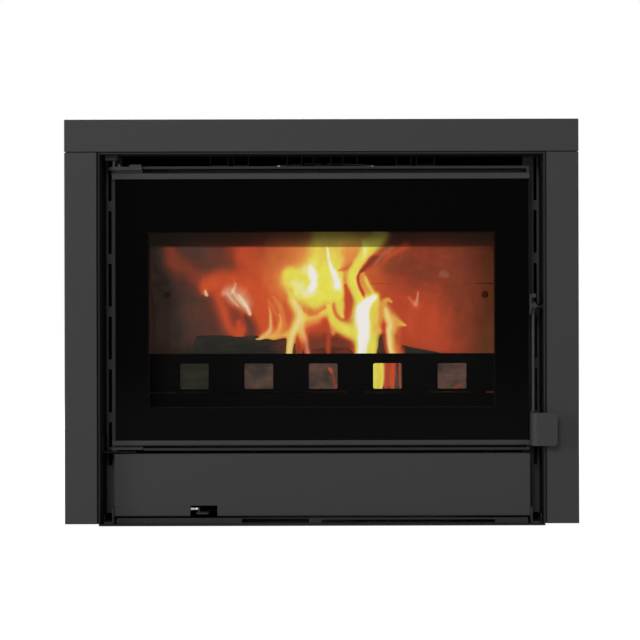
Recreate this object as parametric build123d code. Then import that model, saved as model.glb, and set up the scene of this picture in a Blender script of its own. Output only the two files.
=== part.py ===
from build123d import *
import os

# Fireplace insert: a steel casing with a firebox inside it, a glazed door hung on its left edge,
# a drop-down flap below the door and a three-piece trim round the opening.
# Millimetres. +X is to the right seen from the room, +Z is up. "Depth" runs back into the wall
# from the face of the trim, and every shape is drawn with it on the Y axis; save() then moves
# the whole insert so that the origin lies under the middle of its overall depth.

os.makedirs("parts", exist_ok=True)

# ---------------------------------------------------------------- clearances
fit_gap = 0.3            # between soft or curved pieces and what they rest on
running_gap = 0.05       # radial, a pin in its bore
bolt_play = 0.3          # radial, a screw in its clearance hole
slide_gap = 0.2          # above and below the air slider

# ---------------------------------------------------------------- trim round the opening
trim_face = 50           # width of each leg and of the top bar
trim_side_gap = 2.5      # from the casing to a leg's inner edge
trim_foot = 3.5          # the legs stop this far above the hearth
trim_joint = 1.6         # shadow gap between the legs and the top bar
trim_sheet = 2
trim_return = 22         # depth of the folded outer edge
trim_bend = 2.6          # outer radius of the folds
bracket_sheet = 2        # angles that hold the trim on the casing and close the gap beside it
bracket_play = 1         # inside the trim's folded outer edges
bracket_hold = 40        # along the casing

# ---------------------------------------------------------------- casing
casing_width = 695
casing_height = 581
casing_front = 3         # depth of its front edges
casing_back = 400
casing_sheet = 2
casing_bend = 4
casing_lip = 14          # lips of the base and of the lid, inside the walls
screw_radius = 2         # casing, trim and latch screws
screw_head = 3.6
vent_length = 70         # louvre slots low in the casing's back
vent_height = 6
vent_pitch_x = 95
vent_pitch_z = 16

base_strip_depth = 22    # upstand across the front of the base
base_strip_height = 10.7
base_strip_inset = 3     # from the flap's end
air_slot_low = 2.6       # slots in the upstand, above the base plate
air_slot_left = (-126, -21, 9.6)     # from, to, top
air_slot_right = (-1.3, 270.3, 7.7)
anchor_inset = 25.5      # holes that screw the insert to the hearth, from the casing's sides
anchor_spacing_y = 230
anchor_middle = 225      # depth of their middle
anchor_radius = 5.5

# ---------------------------------------------------------------- firebox
firebox_flange = 67      # depth of the face that the door shuts on
flange_thickness = 5
flange_gap = 2           # between the flange and the strips beside the door
firebox_low = 113        # underside of the floor
warm_air_gap = 14.5      # over the firebox, under the casing's lid
firebox_back = 330
firebox_wall = 4
firebox_bend = 8
mouth_sill = 3           # the flange's opening is lower than the door's by these
mouth_head = 4
mouth_corner = 12

rail_inset = 44          # support rails under the firebox, from its wall to their web
rail_flange = 30
rail_sheet = 3
rail_front = 76
rail_back = 322
rail_window_length = 56
rail_window_pitch = 84
rail_window_low = 30
rail_window_high = 88
rail_window_corner = 8

strip_lap = 7            # slotted strips beside the door reach this far behind it
strip_return = 30
strip_foot = 14.5
strip_slot_inset = 9.9   # middle of the slots, from the casing's side
strip_slot_width = 5
strip_slot_length = 68
strip_slot_pitch = 83.9
strip_slot_first = 124.5
strip_slots = 6

fin_sheet = 1.5
fin_bend = 2.5
fin_front = 60
fin_gap = 7              # behind the fins, to the flue collar
fin_places = ((0, 29.4), (43.9, 24.6), (129, 25), (163.3, 29.9))   # middle, width

# ---------------------------------------------------------------- flue collar
flue_inset = 57          # from its middle back to the firebox's rear wall
flue_radius = 75         # outside of the spigot
flue_bore = 70
flue_root_radius = 78
flue_root_height = 19.5  # over the firebox
flue_height = 75.5
flue_rim = 1.2           # chamfer round the spigot's mouth
flue_flange_radius = 104
flue_flange_thickness = 8
flue_bolt_circle = 183
flue_bolt_radius = 4
flue_bolt_head = 6.5
flue_bolt_height = 5.4
flue_hole_play = 7       # round the collar in the casing's lid

# ---------------------------------------------------------------- inside the firebox
lining_side = 25         # thickness of the side slabs
lining_face = 291        # depth of the back slabs' face
lining_drop = 8          # from the flange's mouth down to the back slabs' top
lining_seam = 57         # seam of the back slabs, under the baffle
lining_bolt_drop = 20    # bolts through the lower back slab, under the seam
lining_bolt_inset = 14.5
lining_bolt_radius = 4
lining_bolt_length = 19
lining_bolt_head = 6
lining_play = 1          # round the slabs
inside_front = 76        # linings and hearth start behind the flange
hearth_low = 172
hearth_thickness = 10
hearth_rail_reach = 16   # angles on the walls that carry the hearth
hearth_rail_front = 86
hearth_rail_back = 310
grate_half = 110
grate_front = 140
grate_back = 250
grate_ledge = 8
grate_thickness = 6
grate_play = 1
grate_slot = 8
grate_pitch = 18
lip_height = 21
lip_depth = 20
retainer_play = 2        # at each end of the log retainer
retainer_depth = 84
retainer_thickness = 8
retainer_foot = 3
retainer_height = 60.6
window_width = 46
window_height = 41
window_pitch = 103
window_sill = 4
window_corner = 3
windows = 5
baffle_drop = 68         # from the flange's mouth down to the baffle's underside
baffle_thickness = 25
baffle_front = 110
smoke_plate_rise = 4     # over the flange's mouth
smoke_plate_sheet = 3
smoke_plate_back = 230
smoke_plate_hem = 16
smoke_lug_reach = 18
smoke_lug_height = 5
smoke_lug_length = 24
smoke_lug_depths = (100, 200)
wash_drop = 5            # air wash duct, from the flange's mouth down to its lid
wash_height = 29
wash_depth = 26
wash_lip = 17            # inner lip under the duct, leaving a slot for the air
wash_sheet = 2
pan_half = 118
pan_front = 132
pan_back = 262
pan_height = 42
pan_sheet = 1.5
pan_corner = 4
pull_half = 30           # pull across the pan's front
pull_reach = 9
pull_drop = 14
pull_sheet = 2

# ---------------------------------------------------------------- combustion air
air_x = -190             # middle of the air box, the inlet and the slider
air_box_width = 136
air_box_front = 62
air_box_back = 304
air_box_low = 20.3
air_box_sheet = 2
inlet_depth = 238
inlet_bore = 50
inlet_wall = 2
inlet_height = 30
slider_z = 17
slider_thickness = 3
slider_width = 100
slider_front = 68
slider_back = 132
slider_slot = 12
slider_slot_pitch = 24
slider_slot_inset = 8
floor_slot_span = (150, 230)         # slots from the air box into the firebox, depth from, to
tab_left = 6.4          # the tab that shows in the flap's notch, each side of the slider's middle
tab_right = 12.2
tab_front = 16
tip_inset = 1.4          # from the tab's left edge to the face that the tip stands on
tip_depth = 26
tip_rise = 4.6           # from the slider up to the tip's axis
tip_radius = 2.6
tip_length = 12
guide_sheet = 1.5
guide_foot = 16
guide_ledge = 12

# ---------------------------------------------------------------- drop-down flap
flap_front = 20
flap_low = 13.2
flap_top = 111.4
flap_sheet = 2
flap_bend = 2.4
flap_lower_return = 12
flap_upper_return = 16
flap_hem = 18
flap_side_return = 13
flap_axis_depth = 24
flap_axis_z = 21
flap_pin_radius = 1.95
notch_left = 10.2        # the flap's notch, beyond the tab's edges
notch_right = 13.4
notch_top = 30.4
notch_corner = 1.5
flap_bracket_gap = 0.5
flap_bracket_sheet = 3
flap_bracket_foot = 15
flap_bracket_rise = 7    # over the pin's axis
flap_bracket_span = (16, 34)         # depth from, to
flap_pin_head = 1.6      # height, and how far it passes the shank all round

# ---------------------------------------------------------------- door
door_side_gap = 22.5     # between the door's edges and the casing's sides
door_top_gap = 17.5      # under the casing's lid
door_flap_gap = 4.5
door_front = 20          # face of the profiles
door_rim_front = 28      # front edge of the frame's ribs
door_plate_front = 50
door_back = 60
door_rib = 4
rib_corner = 2           # inner corners of the frame's outer rib
door_border_side = 40    # from the door's edges to its mouth
door_border_top = 49.5
door_border_bottom = 49.1
seal_offset = 24         # centre line of the rope seal, above and below the mouth
seal_groove_width = 12
seal_groove_depth = 4
seal_corner = 20
glass_inset = 1.5
glass_front = 22.3
glass_thickness = 4
glass_edge = 0.6         # ground edges
gasket_width = 10
profile_sheet = 2
profile_bend = 2.2
profile_top_drop = 10.9  # from the door's top to the upper profile
profile_top_height = 9.5
profile_bottom_rise = 8.1
profile_bottom_height = 8
profile_left_reach = 3   # the profiles pass the glass on the hinge side
profile_flange_up = 6.4
profile_flange_down = 3.8
profile_screw_inset = 44
profile_screw_radius = 1.3
profile_screw_head = 2.1
profile_screw_space = 10 # from the frame's cut-away corner to the left screws

# ---------------------------------------------------------------- hinges
hinge_offset = 2         # the hinges' axis lies this far outside the door's edge
hinge_depth = 34
hinge_pin_radius = 3.5
hinge_eye_radius = 8
hinge_notch = 44         # corner of the frame cut away for the arms
arm_end_gap = 1
arm_top_drop = 6         # from the door's top to the upper arm's underside
arm_top_thickness = 5.5
arm_bottom_rise = 1.3
arm_bottom_thickness = 4
arm_pad_length = 20.6    # raised pad on the upper arm
arm_pad_height = 3.3
arm_pad_inset = 0.4
arm_screw_insets = (12, 30)          # under the lower arm, from its end
bracket_top_thickness = 8
bracket_bottom_drop = 3.3            # under the door
bracket_bottom_sheet = 2.5
bracket_bottom_reach = 35            # to the right of the hinges' axis
bracket_bottom_height = 27
hinge_screw_head = 3.8
lug_height = 11

# ---------------------------------------------------------------- latch
latch_depth = 24         # pivot of the lever
latch_z = 342
latch_plate = 2
latch_plate_low = 328
latch_plate_high = 361
latch_plate_front = 15
latch_plate_back = 56
latch_pin_radius = 3
hub_radius = 6.5
hub_length = 7.2
claw_sheet = 3           # hook behind the hub
claw_half = 4
claw_reach = 18
claw_width = 5.5
claw_drop = 12
rod_radius = 2.5
rod_low = 148
grip_low = 125
grip_high = 176
grip_front = -20
grip_gap = 0.6           # between the door's edge and the grip
grip_reach = 38.9
grip_sheet = 3
grip_bend = 9
grip_corner = 5.5
grip_back = 27
striker_z = 341
striker_radius = 2.5
striker_head = 1         # height of the rim that keeps the roller on
striker_base = 1.6       # height of the foot on the casing's wall
roller_radius = 4.2
roller_waist = 3.1
roller_shoulder = 1.3

# ---------------------------------------------------------------- worked out from the above
casing_half = casing_width / 2
casing_inside = casing_half - casing_sheet
lid_low = casing_height - casing_sheet
tray_half = casing_inside - fit_gap
tray_back = casing_back - casing_sheet - fit_gap

opening_half = casing_half + trim_side_gap
trim_half = opening_half + trim_face
trim_bar_low = casing_height + trim_joint
trim_top = trim_bar_low + trim_face

door_half = casing_half - door_side_gap
door_low = flap_top + door_flap_gap
door_top = lid_low - door_top_gap
mouth_half = door_half - door_border_side
door_mouth_low = door_low + door_border_bottom
door_mouth_high = door_top - door_border_top
seal_x = (mouth_half + door_half) / 2
seal_low = door_mouth_low - seal_offset
seal_high = door_mouth_high + seal_offset
groove_bottom = door_back - seal_groove_depth
seal_diameter = firebox_flange - groove_bottom - 2 * fit_gap
glass_half = door_half - glass_inset
glass_back = glass_front + glass_thickness
profile_top_high = door_top - profile_top_drop
profile_top_low = profile_top_high - profile_top_height
profile_bottom_low = door_low + profile_bottom_rise
profile_bottom_high = profile_bottom_low + profile_bottom_height
profile_screw_x = door_half - profile_screw_inset

strip_inner = door_half - strip_lap
flange_half = strip_inner - flange_gap
flange_back = firebox_flange + flange_thickness
mouth_low = door_mouth_low + mouth_sill
mouth_high = door_mouth_high - mouth_head
wall_inside = mouth_half + lining_side
firebox_half = wall_inside + firebox_wall
floor_top = firebox_low + firebox_wall
firebox_top_z = lid_low - warm_air_gap
firebox_lid_low = firebox_top_z - firebox_wall
flue_depth = firebox_back - flue_inset
flue_root_top = firebox_top_z + flue_root_height
flue_top = firebox_top_z + flue_height
fin_back = flue_depth - flue_flange_radius - fin_gap
rail_web = firebox_half - rail_inset
baffle_low = mouth_high - baffle_drop
hearth_top = hearth_low + hearth_thickness
retainer_low = hearth_top + lip_height + retainer_foot

flap_half = door_half
base_strip_half = flap_half - base_strip_inset
tab_from = air_x - tab_left
tab_to = air_x + tab_right
notch_from = tab_from - notch_left
notch_to = tab_to + notch_right
tip_right = tab_from + tip_inset
tip_z = slider_z + slider_thickness + tip_rise

hinge_x = -door_half - hinge_offset
hinge_notch_x = -door_half + hinge_notch
hinge_arm_end = hinge_notch_x - arm_end_gap
arm_top_low = door_top - arm_top_drop
arm_top_high = arm_top_low + arm_top_thickness
arm_bottom_low = door_low + arm_bottom_rise
arm_bottom_high = arm_bottom_low + arm_bottom_thickness
bracket_top_low = lid_low - bracket_top_thickness
bracket_bottom_low = door_low - bracket_bottom_drop
bracket_bottom_top = bracket_bottom_low + bracket_bottom_sheet

hub_from = door_half + latch_plate + fit_gap
hub_to = hub_from + hub_length
grip_left = door_half + grip_gap
grip_right = grip_left + grip_reach
rod_x = grip_left + grip_sheet + rod_radius
mid_depth = (grip_front + casing_back) / 2


# ---------------------------------------------------------------- shared shapes
def block(x, y, z):
    """A block between two limits on each axis."""
    size = Box(x[1] - x[0], y[1] - y[0], z[1] - z[0])
    return Pos((x[0] + x[1]) / 2, (y[0] + y[1]) / 2, (z[0] + z[1]) / 2) * size


def rounded(x, y, z, radius, axis):
    """A block with its four edges along one axis rounded."""
    solid = block(x, y, z)
    return fillet(solid.edges().filter_by(axis), radius)


def fold(points, thickness, radius, span, along, side):
    """A bent sheet: its outer face follows the points, and the sheet lies to one side of them."""
    path = FilletPolyline(*points, radius=radius) if len(points) > 2 else Line(*points)
    outline = path.wire().offset_2d(thickness, side=side, closed=True)
    sheet = extrude(make_face(outline.edges()), amount=span[1] - span[0])
    if along == "z":
        return Pos(0, 0, span[0]) * sheet
    if along == "x":
        return Pos(span[0], 0, 0) * Plane.YZ.location * sheet
    return Pos(0, span[1], 0) * Plane.XZ.location * sheet


def rod(centre, radius, span, along):
    """A round bar along one axis; centre holds its two other coordinates in X, Y, Z order."""
    bar = Cylinder(radius, span[1] - span[0], align=(Align.CENTER, Align.CENTER, Align.MIN))
    if along == "z":
        return Pos(centre[0], centre[1], span[0]) * bar
    if along == "x":
        return Pos(span[0], centre[0], centre[1]) * Rot(0, 90, 0) * bar
    return Pos(centre[0], span[1], centre[1]) * Rot(90, 0, 0) * bar


def dome(centre, radius, height, seat, along, towards):
    """A domed screw head whose flat side lies on a seat; towards is +1 or -1 on that axis."""
    outline = Polyline(
        (0, 0), (radius, 0), (radius, 0.35 * height), (0.85 * radius, 0.75 * height),
        (0.5 * radius, height), (0, height), close=True)
    head = revolve(Plane.XZ * make_face(outline), Axis.Z)
    return seated(head, centre, seat, along, towards)


def hexagon(centre, radius, height, seat, along, towards):
    """A hexagon screw head, eased at its outer end; radius is to its corners."""
    head = extrude(RegularPolygon(radius, 6), amount=height)
    head = chamfer(head.edges().group_by(Axis.Z)[-1], 0.15 * height)
    return seated(head, centre, seat, along, towards)


def seated(head, centre, seat, along, towards):
    """Turn a head that stands on the XY plane so that it stands on a seat."""
    if along == "z":
        return Pos(centre[0], centre[1], seat) * Rot(0 if towards > 0 else 180, 0, 0) * head
    if along == "x":
        return Pos(seat, centre[0], centre[1]) * Rot(0, 90 * towards, 0) * head
    return Pos(centre[0], seat, centre[1]) * Rot(-90 * towards, 0, 0) * head


def mirrored(shape):
    """The same shape on the other side of the insert."""
    return mirror(shape, about=Plane.YZ)


def save(node, *shapes):
    """Write one sub-part, with the origin under the middle of the overall depth."""
    solids = [solid for shape in shapes for solid in shape.solids()]
    whole = Compound(solids) if len(solids) > 1 else solids[0]
    export_step(Pos(0, -mid_depth, 0) * whole, f"parts/{node}.step")


# ---------------------------------------------------------------- trim
def trim_leg():
    """Right leg: a face and an outer edge folded back; its inner edge is left raw."""
    points = [(opening_half, 0), (trim_half, 0), (trim_half, trim_return)]
    return fold(points, trim_sheet, trim_bend, (trim_foot, trim_bar_low - trim_joint), "z", Side.LEFT)


def trim_bar():
    """Top bar: face, top edge and both ends folded from one blank."""
    limits_x = (-trim_half, trim_half)
    outer = block(limits_x, (0, trim_return), (trim_bar_low, trim_top))
    front_edges = outer.faces().sort_by(Axis.Y)[0].edges().sort_by(Axis.Z)[1:]
    top_ends = outer.edges().filter_by(Axis.Y).sort_by(Axis.Z)[2:]
    outer = fillet(front_edges + top_ends, trim_bend - 0.6)
    inside_x = (limits_x[0] + trim_sheet, limits_x[1] - trim_sheet)
    hollow = block(inside_x, (trim_sheet, trim_return + 1), (trim_bar_low - 1, trim_top - trim_sheet))
    return outer - hollow


def side_bracket():
    """Angle along the casing's right wall, behind the right leg and the end of the top bar."""
    reach = trim_half - trim_sheet - bracket_play
    back = trim_sheet + bracket_hold
    points = [(reach, trim_sheet), (casing_half, trim_sheet), (casing_half, back)]
    span = (trim_foot, trim_top - trim_sheet - bracket_play)
    return fold(points, bracket_sheet, bracket_sheet + 0.5, span, "z", Side.RIGHT)


def bar_bracket():
    """Angle along the casing's lid, behind the top bar's face."""
    back = trim_sheet + bracket_hold
    points = [(trim_sheet, trim_top - trim_sheet - bracket_play), (trim_sheet, casing_height)]
    points.append((back, casing_height))
    half = casing_half - fit_gap
    return fold(points, bracket_sheet, bracket_sheet + 0.5, (-half, half), "x", Side.LEFT)


def trim_parts():
    leg = trim_leg()
    save("surround_right_leg", leg)
    save("surround_left_leg", mirrored(leg))
    save("surround_top_bar", trim_bar())
    side = side_bracket()
    save("surround_brackets", side, mirrored(side), bar_bracket())


# ---------------------------------------------------------------- casing
def casing_wrap():
    """Both sides and the back in one folded sheet, with rows of air slots low in the back."""
    points = [(-casing_half, casing_front), (-casing_half, casing_back)]
    points += [(casing_half, casing_back), (casing_half, casing_front)]
    wrap = fold(points, casing_sheet, casing_bend, (0, lid_low), "z", Side.RIGHT)
    depth = (casing_back - 3 * casing_sheet, casing_back + casing_sheet)
    for row in range(3):
        for column in range(-2, 3):
            x = column * vent_pitch_x
            z = 40 + row * vent_pitch_z
            slot = block((x - vent_length / 2, x + vent_length / 2), depth, (z, z + vent_height))
            wrap -= fillet(slot.edges().filter_by(Axis.Y), vent_height / 2 - 0.1)
    return wrap


def anchor_holes():
    """Where the four anchor holes pass through the base."""
    for x in (anchor_inset - casing_half, casing_half - anchor_inset):
        for depth in (anchor_middle - anchor_spacing_y / 2, anchor_middle + anchor_spacing_y / 2):
            yield rod((x, depth), anchor_radius, (-1, casing_sheet + 1), "z")


def base_tray():
    """Base plate with side and back lips, a slotted upstand in front, the air inlet and anchors."""
    plate = block((-tray_half, tray_half), (casing_front, tray_back), (0, casing_sheet))
    lips_front = base_strip_depth + 20
    lips = block((-tray_half, tray_half), (lips_front, tray_back), (0, casing_lip))
    inside = (-tray_half + casing_sheet, tray_half - casing_sheet)
    lips -= block(inside, (lips_front - 1, tray_back - casing_sheet), (casing_sheet, casing_lip + 1))
    tray = plate + lips
    back_corners = tray.edges().filter_by(Axis.Z).sort_by(Axis.Y)[-2:]
    tray = fillet(back_corners, casing_bend - casing_sheet + 1)
    strip_depth = (base_strip_depth, base_strip_depth + casing_sheet)
    tray += block((-base_strip_half, base_strip_half), strip_depth, (0, base_strip_height))
    through = (base_strip_depth - 1, base_strip_depth + casing_sheet + 1)
    for start, end, top in (air_slot_left, air_slot_right):
        tray -= rounded((start, end), through, (air_slot_low, top), 1, Axis.Y)
    for hole in anchor_holes():
        tray -= hole
    inlet = inlet_bore + inlet_wall + fit_gap
    return tray - rod((air_x, inlet_depth), inlet, (-1, casing_sheet + 1), "z")


def casing_lid():
    """Top plate on the walls, with lips inside them and a hole round the flue collar."""
    lid = block((-casing_half, casing_half), (casing_front, casing_back), (lid_low, casing_height))
    lid = fillet(lid.edges().filter_by(Axis.Z).sort_by(Axis.Y)[-2:], casing_bend)
    lip_front = firebox_flange + strip_return + 5
    lips = block((-tray_half, tray_half), (lip_front, tray_back), (lid_low - casing_lip, lid_low))
    lips = fillet(lips.edges().filter_by(Axis.Z).sort_by(Axis.Y)[-2:], casing_bend - casing_sheet + 1)
    inside = (-tray_half + casing_sheet, tray_half - casing_sheet)
    lips -= block(inside, (lip_front - 1, tray_back - casing_sheet), (lid_low - casing_lip - 1, lid_low))
    hole = rod((0, flue_depth), flue_root_radius + flue_hole_play, (lid_low - 1, casing_height + 1), "z")
    return lid + lips - hole


casing_screw_depths = (130, 240, 350)
lip_screw_z = casing_lip / 2


def casing_screws():
    """Hexagon screws through the casing's walls into the lips of the base and the lid."""
    screws = []
    for depth in casing_screw_depths:
        for z in (lip_screw_z, lid_low - lip_screw_z):
            screws.append(hexagon((depth, z), screw_head, 2, casing_half, "x", 1))
    return screws + [mirrored(screw) for screw in screws]


def casing_parts():
    save("casing_wrap", casing_wrap())
    save("base_tray", base_tray())
    save("casing_top", casing_lid())
    save("casing_screws", *casing_screws())


# ---------------------------------------------------------------- firebox shell
def plan_plate(z, half, front, back, corner):
    """A plate whose two rear corners follow the bends of the wrap above or below it."""
    plate = block((-half, half), (front, back), z)
    return fillet(plate.edges().filter_by(Axis.Z).sort_by(Axis.Y)[-2:], corner)


def firebox_flange_plate():
    """The thick front plate that the door's seal shuts on."""
    depth = (firebox_flange, flange_back)
    plate = block((-flange_half, flange_half), depth, (firebox_low, firebox_top_z))
    through = (firebox_flange - 1, flange_back + 1)
    mouth_z = (mouth_low, mouth_high)
    return plate - rounded((-mouth_half, mouth_half), through, mouth_z, mouth_corner, Axis.Y)


def firebox_wrap():
    points = [(-firebox_half, flange_back), (-firebox_half, firebox_back)]
    points += [(firebox_half, firebox_back), (firebox_half, flange_back)]
    return fold(points, firebox_wall, firebox_bend, (floor_top, firebox_lid_low), "z", Side.RIGHT)


def air_slots(low, high, depth_from, depth_to):
    """The row of slots that the air slider covers and uncovers."""
    for step in (-1, 0, 1):
        x = air_x + step * slider_slot_pitch
        limits = (x - slider_slot / 2, x + slider_slot / 2)
        yield rounded(limits, (depth_from, depth_to), (low, high), slider_slot / 2 - 0.1, Axis.Z)


def firebox_floor():
    floor = plan_plate((firebox_low, floor_top), firebox_half, flange_back, firebox_back, firebox_bend)
    for slot in air_slots(firebox_low - 1, floor_top + 1, *floor_slot_span):
        floor -= slot
    return floor


def firebox_lid():
    z = (firebox_lid_low, firebox_top_z)
    lid = plan_plate(z, firebox_half, flange_back, firebox_back, firebox_bend)
    lid -= rod((0, flue_depth), flue_bore, (firebox_lid_low - 1, firebox_top_z + 1), "z")
    for x, depth in bolt_circle():
        hole = rod((x, depth), flue_bolt_radius + bolt_play, (firebox_lid_low - 1, firebox_top_z + 1), "z")
        lid -= hole
    return lid


def bolt_circle():
    """The flue collar's four bolts: left, right, front and back."""
    reach = flue_bolt_circle / 2
    return [(reach, flue_depth), (-reach, flue_depth), (0, flue_depth + reach), (0, flue_depth - reach)]


def flue_collar():
    """Cast spigot on a bolted flange, thicker at its root."""
    flange_top = firebox_top_z + flue_flange_thickness
    outline = Polyline(
        (flue_bore, firebox_top_z), (flue_flange_radius, firebox_top_z), (flue_flange_radius, flange_top),
        (flue_root_radius, flange_top), (flue_root_radius, flue_root_top), (flue_radius, flue_root_top),
        (flue_radius, flue_top), (flue_bore, flue_top), close=True)
    collar = Pos(0, flue_depth, 0) * revolve(Plane.XZ * make_face(outline), Axis.Z)
    rim = collar.edges().filter_by(GeomType.CIRCLE).group_by(Axis.Z)[-1]
    collar = chamfer(rim, flue_rim)
    for x, depth in bolt_circle():
        collar -= rod((x, depth), flue_bolt_radius + bolt_play, (firebox_top_z - 1, flange_top + 1), "z")
    return collar


def flue_bolts():
    seat = firebox_top_z + flue_flange_thickness
    for x, depth in bolt_circle():
        head = hexagon((x, depth), flue_bolt_head, flue_bolt_height, seat, "z", 1)
        yield head + rod((x, depth), flue_bolt_radius, (firebox_lid_low, seat), "z")


def fin(x, width):
    """One channel standing in the warm-air outlet between the firebox and the casing's lid."""
    left = x - width / 2
    right = x + width / 2
    points = [(left, lid_low), (left, firebox_top_z), (right, firebox_top_z), (right, lid_low)]
    return fold(points, fin_sheet, fin_bend, (fin_front, fin_back), "y", Side.LEFT)


def fins():
    for x, width in fin_places:
        yield fin(x, width)
        if x:
            yield fin(-x, width)


def support_rail():
    """Right rail under the firebox: a channel with air windows in its web."""
    outer = rail_web + rail_flange
    points = [(outer, casing_sheet), (rail_web, casing_sheet)]
    points += [(rail_web, firebox_low), (outer, firebox_low)]
    rail = fold(points, rail_sheet, rail_sheet + 1, (rail_front, rail_back), "y", Side.RIGHT)
    web = (rail_web - 1, rail_web + rail_sheet + 1)
    middle = (rail_front + rail_back) / 2
    for step in (-1, 0, 1):
        depth = middle + step * rail_window_pitch
        limits = (depth - rail_window_length / 2, depth + rail_window_length / 2)
        rail -= rounded(web, limits, (rail_window_low, rail_window_high), rail_window_corner, Axis.X)
    return rail


def side_strip():
    """Right slotted strip beside the door, folded back along the casing's wall."""
    points = [(strip_inner, firebox_flange), (tray_half, firebox_flange)]
    points.append((tray_half, firebox_flange + strip_return))
    strip = fold(points, casing_sheet, casing_bend, (strip_foot, lid_low), "z", Side.LEFT)
    through = (firebox_flange - 1, firebox_flange + casing_sheet + 0.5)
    middle = casing_half - strip_slot_inset
    limits = (middle - strip_slot_width / 2, middle + strip_slot_width / 2)
    for step in range(strip_slots):
        z = strip_slot_first + step * strip_slot_pitch
        height = (z - strip_slot_length / 2, z + strip_slot_length / 2)
        strip -= rounded(limits, through, height, 1.2, Axis.Y)
    return strip


def firebox_parts():
    save("firebox_front", firebox_flange_plate())
    save("firebox_wrap", firebox_wrap())
    save("firebox_floor", firebox_floor())
    save("firebox_top", firebox_lid())
    save("flue_collar", flue_collar())
    save("flue_collar_bolts", *flue_bolts())
    save("convection_fins", *fins())
    rail = support_rail()
    save("support_rails", rail, mirrored(rail))
    strip = side_strip()
    save("side_strip_right", strip)
    save("side_strip_left", mirrored(strip))


# ---------------------------------------------------------------- inside the firebox
def slab(x, y, z):
    """A pressed lining slab with its edges eased."""
    return chamfer(block(x, y, z).edges(), 1.5)


def side_lining():
    x = (wall_inside - lining_side, wall_inside)
    return slab(x, (inside_front, lining_face), (hearth_top, baffle_low))


def back_lining(z, bolts=()):
    """One of the two back slabs, drilled for any bolts that pass through it."""
    x = (-wall_inside + lining_play, wall_inside - lining_play)
    back = firebox_back - firebox_wall
    piece = slab(x, (lining_face, back), z)
    for side in (-1, 1):
        corner = (side * x[1], back)
        inner_bend = firebox_bend - firebox_wall
        wedge = Box(2 * inner_bend, 2 * inner_bend, z[1] - z[0])
        piece -= Pos(*corner, (z[0] + z[1]) / 2) * Rot(0, 0, 45) * wedge
    hole = (lining_face - 1, lining_face + lining_bolt_length + 1)
    for centre in bolts:
        piece -= rod(centre, lining_bolt_radius + bolt_play, hole, "y")
    return piece


def lining_bolt_centres():
    x = mouth_half - lining_bolt_inset
    z = baffle_low - lining_seam - lining_bolt_drop
    return [(-x, z), (x, z)]


def lining_bolts():
    shank = (lining_face, lining_face + lining_bolt_length)
    for centre in lining_bolt_centres():
        head = dome(centre, lining_bolt_head, 3.5, lining_face, "y", -1)
        yield head + rod(centre, lining_bolt_radius, shank, "y")


def hearth_plate():
    """Cast floor of the fire, with a stepped opening that carries the grate."""
    depth = (inside_front, firebox_back - firebox_wall)
    plate = plan_plate((hearth_low, hearth_top), wall_inside, *depth, firebox_bend - firebox_wall + 1)
    pocket_low = hearth_top - grate_thickness
    pocket_depth = (grate_front, grate_back)
    pocket = rounded((-grate_half, grate_half), pocket_depth, (pocket_low, hearth_top + 1), 10, Axis.Z)
    ledge = grate_half - grate_ledge
    hole_depth = (grate_front + grate_ledge, grate_back - grate_ledge)
    hole = rounded((-ledge, ledge), hole_depth, (hearth_low - 1, hearth_top), 8, Axis.Z)
    return plate - pocket - hole


def grate():
    """Cast grate with a row of round-ended slots."""
    half = grate_half - grate_play
    depth = (grate_front + grate_play, grate_back - grate_play)
    plate = rounded((-half, half), depth, (hearth_top - grate_thickness, hearth_top), 9, Axis.Z)
    slots = int((2 * half - 2 * grate_ledge - grate_slot) / grate_pitch) + 1
    slot_depth = (depth[0] + grate_ledge + 4, depth[1] - grate_ledge - 4)
    for step in range(slots):
        x = (step - (slots - 1) / 2) * grate_pitch
        limits = (x - grate_slot / 2, x + grate_slot / 2)
        cut_z = (hearth_top - grate_thickness - 1, hearth_top + 1)
        plate -= rounded(limits, slot_depth, cut_z, grate_slot / 2 - 0.1, Axis.Z)
    return plate


def ash_pan():
    """Folded pan under the grate, with a pull in front; it lifts out once the grate is off."""
    top = floor_top + pan_height
    outer = rounded((-pan_half, pan_half), (pan_front, pan_back), (floor_top, top), pan_corner, Axis.Z)
    inside = (-pan_half + pan_sheet, pan_half - pan_sheet)
    depth = (pan_front + pan_sheet, pan_back - pan_sheet)
    corner = pan_corner - pan_sheet
    pan = outer - rounded(inside, depth, (floor_top + pan_sheet, top + 1), corner, Axis.Z)
    pull_z = (top - pull_drop, top - pull_drop + pull_sheet)
    pull = block((-pull_half, pull_half), (pan_front - pull_reach, pan_front), pull_z)
    return pan + fillet(pull.edges().filter_by(Axis.Z).sort_by(Axis.Y)[:2], pull_reach * 2 / 3)


def hearth_rails():
    """Angles on the firebox walls that carry the hearth plate."""
    points = [(wall_inside - hearth_rail_reach, hearth_low), (wall_inside, hearth_low)]
    points.append((wall_inside, hearth_low - hearth_rail_reach))
    span = (hearth_rail_front, hearth_rail_back)
    rail = fold(points, rail_sheet, rail_sheet + 1, span, "y", Side.RIGHT)
    return [rail, mirrored(rail)]


def hearth_lip():
    """Threshold along the front of the hearth; the log retainer stands on it."""
    half = wall_inside - lining_side - fit_gap
    depth = (inside_front, inside_front + lip_depth)
    bar = block((-half, half), depth, (hearth_top, hearth_top + lip_height))
    return fillet(bar.edges().filter_by(Axis.X).sort_by(Axis.Z)[2:], 2)


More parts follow.
